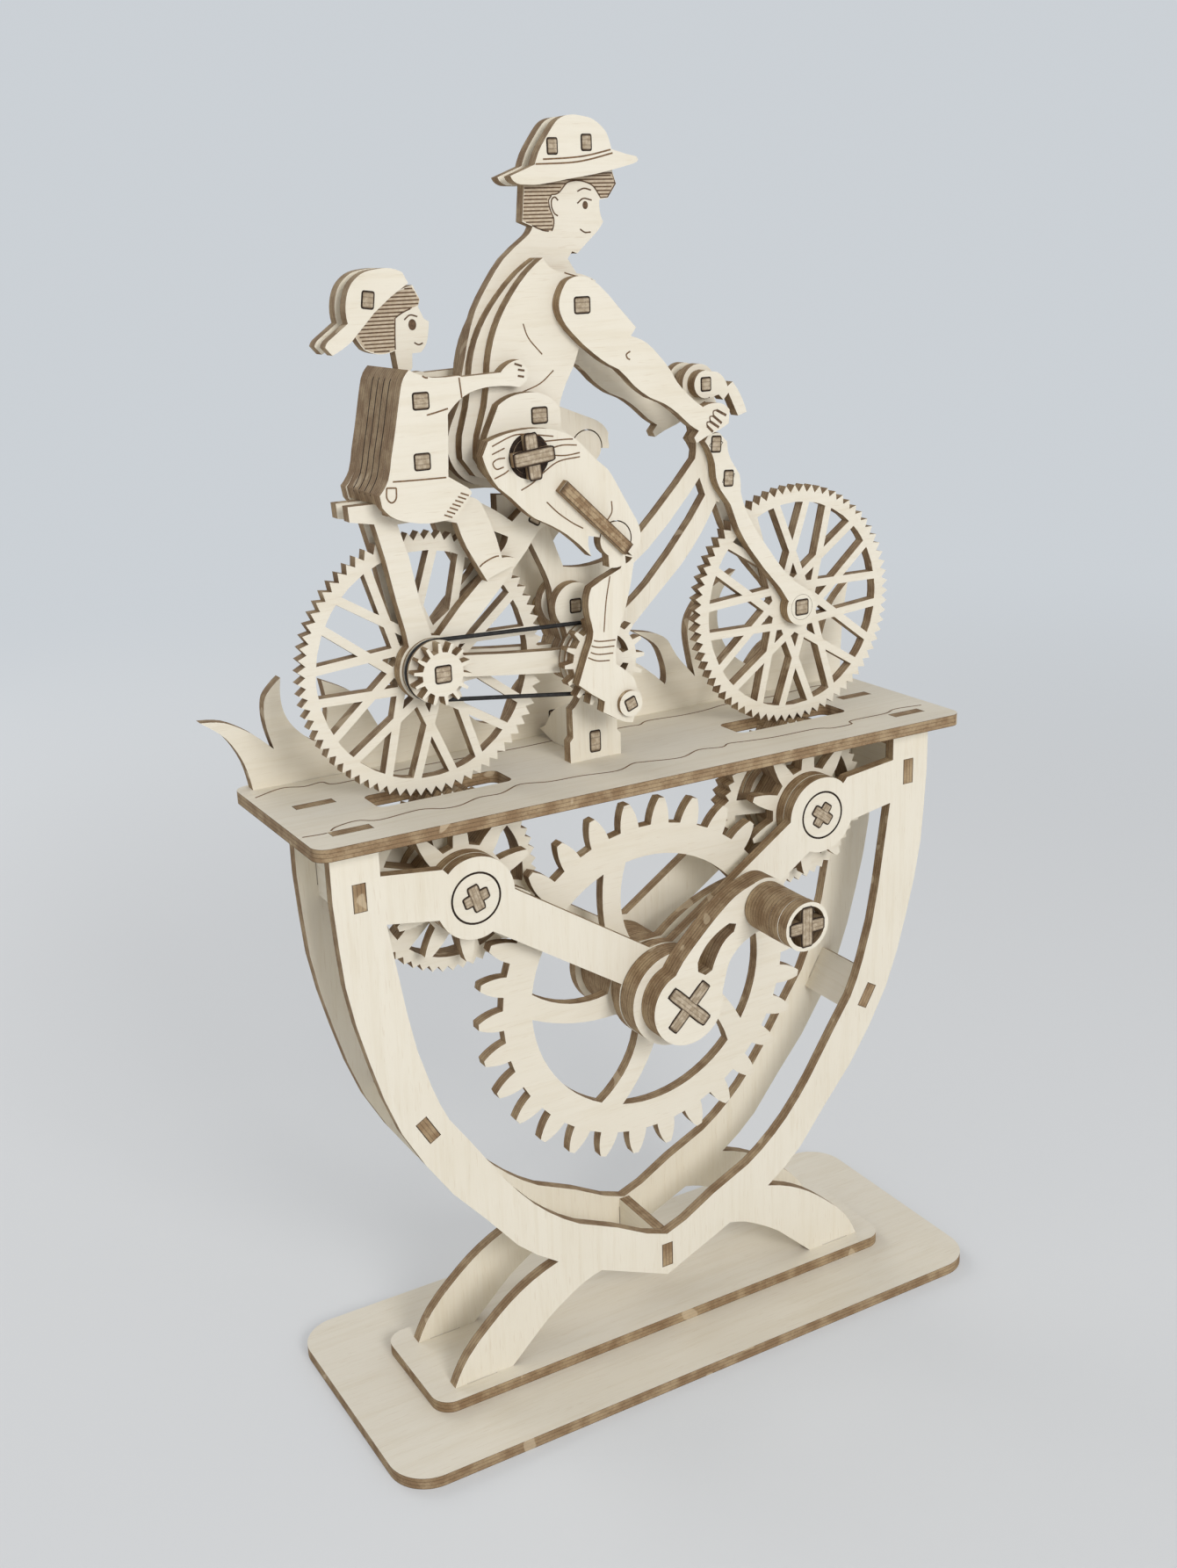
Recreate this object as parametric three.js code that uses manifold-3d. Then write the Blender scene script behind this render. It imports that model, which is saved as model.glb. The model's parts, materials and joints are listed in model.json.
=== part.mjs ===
// Wooden crank automaton: a child and a rider on a bicycle over a geared stand, cut from thin plywood.
// Millimetres, X to the right, Y to the back, Z up. The origin is the middle of the base's underside.
import * as THREE from 'three';
import { mergeVertices } from 'three/addons/utils/BufferGeometryUtils.js';
import Module from 'manifold-3d';

const wasm = await Module();
wasm.setup();

// Sheet and fits
const ply = 3;
const runningGap = 0.3;
const slotClearance = 0.15;
const journalClearance = 0.08;
const overrun = 1;
const grain = 0.0001;
const weld = 0.002;

// Stand
const baseEndBorder = 17.55;
const baseSideBorder = 18.6;
const baseCorner = 10;
const upperBaseEndBorder = 9.8;
const upperBaseSideBorder = 4.5;
const upperBaseCorner = 5;
const frameBorder = 12.3;
const frameWidthShare = 8.42;
const frameHeightShare = 14.68;
const frameFootShare = 0.6;
const framePlane = 10.8;
const tableTop = 155.8;
const tableShare = 15.58;
const tableEndBorder = 5.3;
const tableFront = 19.5;
const tableBack = 33.5;
const tableCorner = 3.5;
const footTenonShare = 5.55;
const footTenonWidth = 8;
const topTenonInset = 1.5;
const topTenonWidth = 9.4;
const spacerWidth = 12;
const spacerTenon = 6.5;
const wheelSlotLength = 34.4;
const wheelSlotWidth = 10;
const wheelSlotCorner = 2;
const wallBackset = 1.5;

// Gear train: module is pitch diameter over teeth
const driveModule = 3;
const driveTeeth = 30;
const pinionTeeth = 10;
const driveBacklash = 1.15;
const driveTipRadius = 48;
const driveRootRadius = 41.3;
const driveRimInner = 33.5;
const driveHubRadius = 12;
const driveSpokes = 5;
const driveSpokeWidth = 5.5;
const driveSpokeFlareShare = 1.2;
const driveSpokeSwirl = 21;
const driveSpokeStart = 33.5;
const pinionTipRadius = 18;
const pinionRootRadius = 11;
const fineModuleShare = 0.08344;
const fineTeeth = 52;
const wheelTeeth = 72;
const fineBacklash = 0.2;
const fineToothRise = 0.61;
const fineToothDepth = 1.4;
const fineRimWidth = 2.3;
const fineHubRadius = 9;
const fineSpokeWidth = 4;
const fineSpokes = 6;
const axleDrop = 22;
const axleBarLength = 6.3;
const axleBarWidth = 2.6;
const axleJournalRadius = 6;
const axleWasherRadius = 10;
const axleBossRadius = 10;
const hubJournalRadius = 8;
const hubRingRadius = 12.5;
const shaftBarLength = 14;
const shaftBarWidth = 3;
const shaftCrossTurn = 45;
const shaftWasherRadius = 11;
const collarRadius = 12.3;
const frameArmWidth = 11;
const frameArmRise = 3.3;

// Crank
const armReach = 31.1;
const armReachShare = 3.11;
const armAngle = 43.7;
const armHubRadius = 10;
const armEndRadius = 7;
const gripRadius = 6.2;
const gripBore = 5.4;
const gripLength = 16.7;
const gripPinBar = 9.8;
const gripPinWidth = 3;

// Bicycle
const wheelBase = 103.5;
const wheelBaseShare = 10.35;
const wheelLean = 2.4;
const wheelToothRise = 0.41;
const wheelToothDepth = 1.85;
const wheelRimWidth = 2.4;
const wheelHubRadius = 7;
const spokeWidth = 2;
const spokePairs = 10;
const spokeTangentRadius = 4.9;
const spokeCrossing = 13.5;
const spokeStart = 20;
const wheelAxleSquare = 4;
const wheelJournalRadius = 3.2;
const stayHubRadius = 7.7;
const forkEndRadius = 4.6;
const bottomBracketRadius = 7.5;
const pulleyRadius = 7.2;
const pulleyGroove = 1;
const sprocketTeeth = 14;
const sprocketTipRadius = 7.1;
const sprocketRootRadius = 5;
const chainringTeeth = 16;
const chainringTipRadius = 10.8;
const chainringRootRadius = 8.6;
const chainringPulleyRadius = 9;
const chainringSpokes = 4;
const chainringWindowTurn = 14;
const chainringWindowSweep = 62;
const bandThickness = 1.4;
const bandWidth = 1.6;
const pedalBossRadius = 2.8;
const pinSquare = 2.6;
const seatPinTurn = -30;
const headPinTurn = -38;
const forkPinTurn = -20;
const braceHeightShare = 1.7;
const pedalPinTurn = 20;
const lobeRadius = 5.5;
const stemRadius = 3.2;
const handlebarRadius = 4.5;
const handlebarPinRadius = 1.7;

// Figures
const hipJournalRadius = 4;
const hipBarLength = 9.5;
const hipBarWidth = 3;
const hipCrossTurn = 6;
const hipRodRadius = 2.5;
const legStepShare = 3.8;
const hatTenonWidth = 2.2;
const hatTenonHeight = 3;
const kneeRadiusShare = 0.4;
const kneeEyeShare = 0.62;
const kneeNeckShare = 0.44;
const kneeFlex = 64;
const kneeMargin = 3;
const kneeBarWidth = 3;
const kneeBarProud = 1.5;
const kneeBarStartShare = 0.34;
const kneeBarRootShare = 0.78;
const kneeBarEndShare = 1.12;

// Sizes that follow
const baseTop = 2 * ply;
const tableUnderside = tableTop - ply;
const frameHeight = tableUnderside - baseTop;
const axleHeight = tableTop - axleDrop;
const square = wheelBase / wheelBaseShare;
const fineModule = fineModuleShare * square;
const finePitchRadius = fineModule * fineTeeth / 2;
const fineTipRadius = finePitchRadius + fineToothRise;
const fineRootRadius = fineTipRadius - fineToothDepth;
const fineRimInner = fineRootRadius - fineRimWidth;
const wheelTipRadius = fineModule * wheelTeeth / 2 + wheelToothRise;
const wheelRootRadius = wheelTipRadius - wheelToothDepth;
const wheelRimInner = wheelRootRadius - wheelRimWidth;
const kneeRadius = kneeRadiusShare * square;
const kneeEyeRadius = kneeEyeShare * square;
const kneeNeckWidth = kneeNeckShare * square;
const driveDistance = driveModule * (driveTeeth + pinionTeeth) / 2 + driveBacklash;
const wheelDistance = fineModule * (fineTeeth + wheelTeeth) / 2 + fineBacklash;
const leanRadians = THREE.MathUtils.degToRad(wheelLean);
const axleX = wheelBase / 2 - wheelDistance * Math.sin(leanRadians);
const wheelHeight = axleHeight + wheelDistance * Math.cos(leanRadians);
const hubHeight = axleHeight - Math.sqrt(driveDistance ** 2 - axleX ** 2);
const middle = 1.5 * ply;
const frameHalfWidth = axleX + fineTipRadius + frameBorder;

// Drawings: frame outlines follow the frame's width and height, all bicycle and figure outlines follow the
// wheel base. Shares are in squares of the drawing, ten across the wheel base and a little more.
const frameSquareX = frameHalfWidth / frameWidthShare;
const frameSquareZ = frameHeight / frameHeightShare;
const sheetAxleShare = 18.55;
const crankSquare = armReach / armReachShare;
const onFrame = ([x, z]) => [x * frameSquareX, baseTop + (z - frameFootShare) * frameSquareZ];
const onSheet = ([x, z]) => [x * square, (z - sheetAxleShare) * square];
const onTable = ([x, z]) => [x * square, tableTop + (z - tableShare) * square];
const onCrank = ([x, z]) => [x * crankSquare, z * crankSquare];

// Plates of the stand
const footTenonX = footTenonShare * frameSquareX;
const topTenonX = frameHalfWidth - topTenonInset - topTenonWidth / 2;
const upperBaseLength = 2 * footTenonX + footTenonWidth + 2 * upperBaseEndBorder;
const upperBaseDepth = 2 * framePlane + ply + 2 * upperBaseSideBorder;
const baseLength = upperBaseLength + 2 * baseEndBorder;
const baseDepth = upperBaseDepth + 2 * baseSideBorder;
const tableHalfLength = frameHalfWidth + tableEndBorder;

// Outline helpers: an outline is a list of [x, z] points
const degrees = THREE.MathUtils.degToRad;
const mirrored = (points) => points.map(([x, z]) => [-x, z]);

function curveThrough(points, perSpan = 1) {
  const curve = new THREE.SplineCurve(points.map(([x, z]) => new THREE.Vector2(x, z)));
  return curve.getPoints(perSpan * (points.length - 1)).map((point) => [point.x, point.y]);
}

function arc([x, z], radius, from, to, steps) {
  const points = [];
  for (let i = 0; i <= steps; i += 1) {
    const angle = degrees(from + (to - from) * i / steps);
    points.push([x + radius * Math.cos(angle), z + radius * Math.sin(angle)]);
  }
  return points;
}

const circle = (centre, radius, steps = 20) => arc(centre, radius, 0, 360 - 360 / steps, steps - 1);

function turned(points, angle, [x, z] = [0, 0]) {
  const cos = Math.cos(degrees(angle));
  const sin = Math.sin(degrees(angle));
  return points.map(([px, pz]) => [x + px * cos - pz * sin, z + px * sin + pz * cos]);
}

function rectangle([x, z], width, height, angle = 0) {
  const corners = [[-width / 2, -height / 2], [width / 2, -height / 2],
    [width / 2, height / 2], [-width / 2, height / 2]];
  return turned(corners, angle, [x, z]);
}

function roundedRectangle([x, z], width, height, radius, steps = 5) {
  const right = width / 2 - radius;
  const top = height / 2 - radius;
  return [
    ...arc([x + right, z + top], radius, 0, 90, steps),
    ...arc([x - right, z + top], radius, 90, 180, steps),
    ...arc([x - right, z - top], radius, 180, 270, steps),
    ...arc([x + right, z - top], radius, 270, 360, steps),
  ];
}

function bar([x0, z0], [x1, z1], width) {
  const length = Math.hypot(x1 - x0, z1 - z0);
  const angle = THREE.MathUtils.radToDeg(Math.atan2(z1 - z0, x1 - x0));
  return rectangle([(x0 + x1) / 2, (z0 + z1) / 2], length, width, angle);
}

// One tooth per step round a circle; a profile share is a place in the pitch and in the tooth's depth
function toothed(teeth, rootRadius, tipRadius, profileShares) {
  const points = [];
  for (let tooth = 0; tooth < teeth; tooth += 1) {
    for (const [pitchShare, depthShare] of profileShares) {
      const angle = 2 * Math.PI * (tooth + pitchShare) / teeth;
      const radius = rootRadius + (tipRadius - rootRadius) * depthShare;
      points.push([radius * Math.cos(angle), radius * Math.sin(angle)]);
    }
  }
  return points;
}

const leafToothShares = [[-0.3, 0], [-0.19, 0.65], [-0.08, 0.98], [0.08, 0.98], [0.19, 0.65], [0.3, 0]];
const pinionToothShares = [[-0.3, 0], [-0.15, 0.65], [-0.06, 1], [0.06, 1], [0.15, 0.65], [0.3, 0]];
const fineToothShares = [[0, 1], [0.5, 0]];
const sprocketToothShares = [[-0.22, 0], [-0.1, 1], [0.1, 1], [0.22, 0]];

// Solid helpers. Corners snap to a fine grain, so that faces meant to meet do meet
function solidOf(geometry) {
  const bare = geometry.clone();
  bare.deleteAttribute('normal');
  bare.deleteAttribute('uv');
  const places = bare.attributes.position.array;
  for (let i = 0; i < places.length; i += 1) {
    places[i] = Math.round(places[i] / grain) * grain;
  }
  const merged = mergeVertices(bare, grain);
  return new wasm.Manifold(new wasm.Mesh({
    numProp: 3,
    vertProperties: new Float32Array(merged.attributes.position.array),
    triVerts: new Uint32Array(merged.index.array),
  }));
}

function extruded(points, thickness) {
  const shape = new THREE.Shape(points.map(([x, z]) => new THREE.Vector2(x, z)));
  return new THREE.ExtrudeGeometry(shape, { depth: thickness, bevelEnabled: false, steps: 1 });
}

// A plate standing in the XZ plane, from one depth to another
function slab(points, front, back, holes = []) {
  const geometry = extruded(points, back - front);
  geometry.rotateX(Math.PI / 2);
  geometry.translate(0, back, 0);
  return cut(solidOf(geometry), holes.map((hole) => slab(hole, front - overrun, back + overrun)));
}

// A plate lying flat, from one height to another; its points are [x, y]
function board(points, bottom, top, holes = []) {
  const geometry = extruded(points, top - bottom);
  geometry.translate(0, 0, bottom);
  return cut(solidOf(geometry), holes.map((hole) => board(hole, bottom - overrun, top + overrun)));
}

// A plate standing in the YZ plane; its points are [y, z]
function crossboard(points, left, right) {
  const geometry = extruded(points, right - left);
  geometry.rotateX(Math.PI / 2);
  geometry.rotateZ(Math.PI / 2);
  geometry.translate(left, 0, 0);
  return solidOf(geometry);
}

const joined = (solids) => solids.reduce((whole, solid) => whole.add(solid));
const cut = (solid, tools) => tools.reduce((rest, tool) => rest.subtract(tool), solid);

function geometryOf(solid) {
  const mesh = solid.getMesh();
  const geometry = new THREE.BufferGeometry();
  geometry.setAttribute('position', new THREE.BufferAttribute(new Float32Array(mesh.vertProperties), 3));
  geometry.setIndex(new THREE.BufferAttribute(new Uint32Array(mesh.triVerts), 1));
  const welded = mergeVertices(geometry, weld);
  const corners = Array.from(welded.index.array);
  const kept = [];
  for (let i = 0; i < corners.length; i += 3) {
    const [a, b, c] = corners.slice(i, i + 3);
    if (a !== b && b !== c && c !== a) {
      kept.push(a, b, c);
    }
  }
  welded.setIndex(kept);
  welded.computeVertexNormals();
  return welded;
}

// Finishes
const plyFinish = { color: 0xe9dfc4, roughness: 0.75, metalness: 0 };
const figureFinish = { color: 0xece3cc, roughness: 0.72, metalness: 0 };
const rubberFinish = { color: 0x2a2724, roughness: 0.6, metalness: 0 };

function piece(name, solid, finish = plyFinish) {
  const mesh = new THREE.Mesh(geometryOf(solid), new THREE.MeshStandardMaterial(finish));
  mesh.name = name;
  return mesh;
}

function groupAt(x, y, z, turnAngle = 0) {
  const group = new THREE.Group();
  group.position.set(x, y, z);
  group.rotation.y = -degrees(turnAngle);
  return group;
}

// A cross of two bars
function crossOutlines(barLength, barWidth, angle = 0, centre = [0, 0]) {
  return [rectangle(centre, barLength, barWidth, angle), rectangle(centre, barLength, barWidth, angle + 90)];
}

function crossSolid(barLength, barWidth, front, back, angle = 0, centre = [0, 0]) {
  const bars = crossOutlines(barLength, barWidth, angle, centre);
  return joined(bars.map((outline) => slab(outline, front, back)));
}

const crossHole = (barLength, barWidth, front, back, angle = 0, centre = [0, 0]) =>
  crossSolid(barLength + 2 * slotClearance, barWidth + 2 * slotClearance, front - overrun, back + overrun,
    angle, centre);

const disc = (centre, radius, front, back, steps = 20) => slab(circle(centre, radius, steps), front, back);
const cylinderHole = (centre, radius, front, back, steps = 20) =>
  disc(centre, radius, front - overrun, back + overrun, steps);

// Stand
const root = new THREE.Group();
const frameFront = framePlane - ply / 2;
const frameBack = framePlane + ply / 2;
const spacerPlaces = [
  { name: 'spacer_top_left', at: onFrame([-7.78, 14.03]), angle: 90 },
  { name: 'spacer_top_right', at: onFrame([7.78, 14.03]), angle: 90 },
  { name: 'spacer_mid_left', at: onFrame([-6.54, 7.9]), angle: -60 },
  { name: 'spacer_mid_right', at: onFrame([6.54, 7.9]), angle: 60 },
  { name: 'spacer_bottom', at: onFrame([0, 2.16]), angle: 90 },
];

function basePlate() {
  return board(roundedRectangle([0, 0], baseLength, baseDepth, baseCorner), 0, ply);
}

function upperBasePlate() {
  const slots = [];
  for (const side of [-1, 1]) {
    for (const plane of [-1, 1]) {
      slots.push(rectangle([side * footTenonX, plane * framePlane], footTenonWidth + 2 * slotClearance,
        ply + 2 * slotClearance));
    }
  }
  const outline = roundedRectangle([0, 0], upperBaseLength, upperBaseDepth, upperBaseCorner);
  return board(outline, ply, baseTop, slots);
}

const frameLegShares = [[0, 1.56], [2, 2.42], [2.5, 2.27], [3, 2], [3.6, 1.6], [4.2, 1.05], [4.68, 0.6]];
const frameToeShares = [[6.3, 0.6], [5.88, 1.35], [5.25, 1.98], [4.63, 2.48], [4, 2.85], [3.25, 3.13]];
const frameOuterShares = [[3.25, 3.13], [4.35, 4], [5.15, 5], [6, 6], [6.66, 7], [7.2, 8], [7.57, 9],
  [7.85, 10], [8.1, 11], [8.28, 12], [8.36, 13], [8.42, 14], [8.42, 15.28]];
const frameInnerShares = [[7.26, 15.28], [7.26, 14.45], [7.2, 13.3], [7.08, 12.5], [6.86, 11], [6.67, 10],
  [6.38, 9], [5.98, 8], [5.5, 7.3], [4.65, 6], [3.85, 5], [2.6, 4], [1.5, 3.5], [0.6, 3], [0, 2.78]];
const frameArmShares = [[7.6, 14.47], [5.75, 14.25], [5, 13.4], [5.9, 13.05], [7.6, 13.33]];

function frameHalf() {
  const footTenon = [[footTenonX - footTenonWidth / 2, baseTop], [footTenonX - footTenonWidth / 2, ply],
    [footTenonX + footTenonWidth / 2, ply], [footTenonX + footTenonWidth / 2, baseTop]];
  const topTenon = [[topTenonX + topTenonWidth / 2, tableUnderside],
    [topTenonX + topTenonWidth / 2, tableTop], [topTenonX - topTenonWidth / 2, tableTop],
    [topTenonX - topTenonWidth / 2, tableUnderside]];
  return [
    ...frameLegShares.map(onFrame),
    ...footTenon,
    ...frameToeShares.map(onFrame),
    ...frameOuterShares.slice(1).map(onFrame),
    ...topTenon,
    ...frameInnerShares.map(onFrame),
  ];
}

function framePlate(front) {
  const back = front + ply;
  const half = frameHalf();
  const boss = [axleX, axleHeight];
  const armFoot = [0, hubHeight + frameArmRise];
  const parts = [
    slab(half, front, back),
    slab(mirrored(half), front, back),
    disc([0, hubHeight], hubRingRadius, front, back, 24),
  ];
  for (const side of [-1, 1]) {
    const arm = frameArmShares.map(onFrame).map(([x, z]) => [side * x, z]);
    parts.push(slab(arm, front, back));
    parts.push(disc([side * boss[0], boss[1]], axleBossRadius, front, back, 18));
    parts.push(slab(bar([side * boss[0], boss[1]], armFoot, frameArmWidth), front, back));
  }
  const holes = [cylinderHole([0, hubHeight], hubJournalRadius + journalClearance, front, back, 24)];
  for (const side of [-1, 1]) {
    holes.push(cylinderHole([side * boss[0], boss[1]], axleJournalRadius + journalClearance, front, back));
  }
  for (const { at, angle } of spacerPlaces) {
    holes.push(slab(rectangle(at, spacerTenon + 2 * slotClearance, ply + 2 * slotClearance, angle),
      front - overrun, back + overrun));
  }
  return cut(joined(parts), holes);
}

// A spacer stands between the frames and its tenons pass through both of them
function spacer(at, angle) {
  const body = slab(rectangle(at, spacerWidth, ply, angle), -frameFront, frameFront);
  return body.add(slab(rectangle(at, spacerTenon, ply, angle), -frameBack, frameBack));
}

const wallPlane = tableBack - wallBackset - ply / 2;
const wallTenonShares = [-7, 5.6];
const wallTenonWidth = 12;
const postTenonShare = -0.79;
const postTenonWidth = 7;
const bracePlane = -8;
const braceTenonWidth = 8;
const braceMiddle = (middle + ply / 2 + wallPlane - ply / 2) / 2;

function tablePlate() {
  const slot = (x, y, width, depth) =>
    rectangle([x, y], width + 2 * slotClearance, depth + 2 * slotClearance);
  const holes = [];
  for (const side of [-1, 1]) {
    holes.push(slot(side * topTenonX, -framePlane, topTenonWidth, ply));
    holes.push(slot(side * topTenonX, framePlane, topTenonWidth, ply));
    const slotCentre = [side * axleX, middle];
    holes.push(roundedRectangle(slotCentre, wheelSlotLength, wheelSlotWidth, wheelSlotCorner, 3));
  }
  for (const share of wallTenonShares) {
    holes.push(slot(share * square, wallPlane, wallTenonWidth, ply));
  }
  holes.push(slot(postTenonShare * square, middle, postTenonWidth, ply));
  holes.push(slot(bracePlane, braceMiddle, ply, braceTenonWidth));
  const depth = tableFront + tableBack;
  const centre = [0, (tableBack - tableFront) / 2];
  const outline = roundedRectangle(centre, 2 * tableHalfLength, depth, tableCorner, 4);
  return board(outline, tableUnderside, tableTop, holes);
}

// Splash wall: the crests of the water, from left to right
const splashShares = [
  [[-8.6, 15.58], [-8.75, 16.25], [-9.13, 16.94], [-9.69, 17.4]],
  [[-9.69, 17.4], [-9.13, 17.31], [-8.5, 16.94], [-8, 16.48]],
  [[-8, 16.48], [-8.15, 17.13], [-8.1, 17.75], [-7.69, 18.16]],
  [[-7.69, 18.16], [-7.73, 17.63], [-7.56, 17.06], [-7, 16.5], [-6.72, 16.72], [-6.6, 17.3], [-6.69, 17.94]],
  [[-6.69, 17.94], [-5.9, 17.5], [-5.5, 16.9], [-5.2, 16.3]],
  [[-5.2, 16.3], [-4.6, 16.9], [-4, 17.2]],
  [[-4, 17.2], [-3.4, 16.9], [-2.6, 16.2], [-1.9, 16.1]],
  [[-1.9, 16.1], [-1.5, 16.9], [-1, 17.3]],
  [[-1, 17.3], [0, 17.5], [1.2, 17.4], [2.17, 16.92], [2.89, 16.31]],
  [[2.89, 16.31], [2.93, 16.62], [2.67, 17.37], [1.95, 17.87]],
  [[1.95, 17.87], [2.6, 17.73], [3, 17.49], [3.27, 17.04], [3.85, 16.37]],
  [[3.85, 16.37], [3.67, 17.2], [3.67, 17.9], [4.15, 18.55], [5.19, 19.09]],
  [[5.19, 19.09], [4.7, 18.5], [4.6, 17.7], [4.95, 16.9], [5.6, 16.4]],
  [[5.6, 16.4], [6.1, 16.9], [6.9, 17.2]],
  [[6.9, 17.2], [7.5, 16.9], [8, 16.5]],
  [[8, 16.5], [8.2, 17.2], [8.5, 17.8], [9, 18.3]],
  [[9, 18.3], [8.85, 17.5], [8.78, 16.6], [8.75, 15.58]],
];

function splashWall() {
  const outline = [];
  for (const run of splashShares) {
    outline.push(...curveThrough(run.map(onTable), 2).slice(0, -1));
  }
  const last = splashShares.at(-1).at(-1);
  outline.push(onTable(last));
  const parts = [slab(outline, wallPlane - ply / 2, wallPlane + ply / 2)];
  for (const share of wallTenonShares) {
    parts.push(slab(rectangle([share * square, tableUnderside + ply / 2], wallTenonWidth, ply),
      wallPlane - ply / 2, wallPlane + ply / 2));
  }
  return joined(parts);
}

// Post and brace under the bicycle
const postSideShares = [[0.71, 15.58], [0.71, 16.1], [0.62, 16.2], [0.62, 16.9], [0.4, 17.15], [0.32, 17.6]];

function postPlate() {
  const foot = postTenonShare * square;
  const right = postSideShares.map(onTable).map(([x, z]) => [x + foot, z]);
  const left = postSideShares.map(onTable).map(([x, z]) => [foot - x, z]).reverse();
  const tenon = [[foot - postTenonWidth / 2, tableTop], [foot - postTenonWidth / 2, tableUnderside],
    [foot + postTenonWidth / 2, tableUnderside], [foot + postTenonWidth / 2, tableTop]];
  const bracket = onWorld(bottomBracketShare);
  const cradle = cylinderHole(bracket, bottomBracketRadius + runningGap, ply, 2 * ply, 32);
  return cut(slab([...right, ...left, ...tenon], ply, 2 * ply), [cradle]);
}

const braceTopShares = [[0, 0], [0, 0.72], [0.25, 0.7], [0.5, 0.6], [0.72, 0.42], [0.86, 0.2], [1, 0.12],
  [1, 0]];

function bracePlate() {
  const front = 2 * ply + runningGap;
  const length = wallPlane - ply / 2 - runningGap - front;
  const height = braceHeightShare * square;
  const top = braceTopShares.map(([y, z]) => [front + y * length, tableTop + z * height]);
  const curve = top.slice(1, -1).reverse();
  const tenon = [[braceMiddle - braceTenonWidth / 2, tableTop], [braceMiddle - braceTenonWidth / 2,
    tableUnderside], [braceMiddle + braceTenonWidth / 2, tableUnderside],
  [braceMiddle + braceTenonWidth / 2, tableTop]];
  return crossboard([...curve, ...tenon], bracePlane - ply / 2, bracePlane + ply / 2);
}

// Places on the bicycle's drawing
const rearAxleShare = [-5.175, 18.55];
const frontAxleShare = [5.175, 18.55];
const bottomBracketShare = [-1.02, 18.23];
const pedalShare = [-0.61, 17.22];
const hipShare = [-2.97, 23.16];
const kneeShare = [-0.84, 21.1];
const lobeShare = [-1.4, 19.48];
const seatPinShare = [-2.34, 21.66];
const headPinShare = [2.6, 22.85];
const forkPinShare = [2.95, 22.01];
const handlebarShare = [2.14, 24.29];
const onWorld = (share) => {
  const [x, z] = onSheet(share);
  return [x, z + wheelHeight];
};

// Gear train
function driveSpokeWindows() {
  const windows = [];
  const samples = 4;
  const edge = (spoke, side, share) => {
    const radius = driveHubRadius + (driveRimInner - driveHubRadius) * share;
    const flare = 1 + (driveSpokeFlareShare - 1) * (2 * share - 1) ** 2;
    const half = driveSpokeWidth * flare / 2 / radius;
    const turn = driveSpokeStart + 360 * spoke / driveSpokes + driveSpokeSwirl * (1 - share);
    const angle = degrees(turn) + side * half;
    return [radius * Math.cos(angle), radius * Math.sin(angle)];
  };
  for (let spoke = 0; spoke < driveSpokes; spoke += 1) {
    const outline = [];
    for (let i = 0; i <= samples; i += 1) {
      outline.push(edge(spoke, 1, i / samples));
    }
    const start = outline.at(-1);
    const end = edge(spoke + 1, -1, 1);
    const from = Math.atan2(start[1], start[0]);
    const sweep = (Math.atan2(end[1], end[0]) - from + 2 * Math.PI) % (2 * Math.PI);
    for (let i = 1; i < samples; i += 1) {
      const angle = from + sweep * i / samples;
      outline.push([driveRimInner * Math.cos(angle), driveRimInner * Math.sin(angle)]);
    }
    for (let i = samples; i >= 0; i -= 1) {
      outline.push(edge(spoke + 1, -1, i / samples));
    }
    windows.push(outline);
  }
  return windows;
}

function driveGear() {
  const outline = toothed(driveTeeth, driveRootRadius, driveTipRadius, leafToothShares);
  const disk = slab(outline, -2 * ply, -ply, driveSpokeWindows());
  return cut(disk, [crossHole(shaftBarLength, shaftBarWidth, -2 * ply, -ply, shaftCrossTurn)]);
}

function pinion() {
  const outline = toothed(pinionTeeth, pinionRootRadius, pinionTipRadius, pinionToothShares);
  return cut(slab(outline, -2 * ply, -ply), [crossHole(axleBarLength, axleBarWidth, -2 * ply, -ply)]);
}

function fineWheel() {
  const outline = toothed(fineTeeth, fineRootRadius, fineTipRadius, fineToothShares);
  const windows = [];
  const half = (radius) => THREE.MathUtils.radToDeg(fineSpokeWidth / 2 / radius);
  for (let spoke = 0; spoke < fineSpokes; spoke += 1) {
    const from = 360 * spoke / fineSpokes;
    const to = from + 360 / fineSpokes;
    windows.push([
      ...arc([0, 0], fineRimInner, from + half(fineRimInner), to - half(fineRimInner), 3),
      ...arc([0, 0], fineHubRadius, to - half(fineHubRadius), from + half(fineHubRadius), 1),
    ]);
  }
  const disk = slab(outline, 0, 2 * ply, windows);
  return cut(disk, [crossHole(axleBarLength, axleBarWidth, 0, 2 * ply)]);
}

// The cross axle with its washers, its spacer and the round ends that run in the frame plates
function crossAxle() {
  const washerFront = -frameFront + runningGap;
  return joined([
    crossSolid(axleBarLength, axleBarWidth, -frameBack, frameBack),
    disc([0, 0], axleJournalRadius, -frameBack, washerFront),
    disc([0, 0], axleWasherRadius, washerFront, -2 * ply, 16),
    disc([0, 0], fineHubRadius, -ply, 0, 12),
    disc([0, 0], axleWasherRadius, 2 * ply, frameFront - runningGap, 12),
    disc([0, 0], axleJournalRadius, frameFront - runningGap, frameBack),
  ]);
}

const collarBack = -frameBack - runningGap;
const collarFront = collarBack - 2 * ply;

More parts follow.
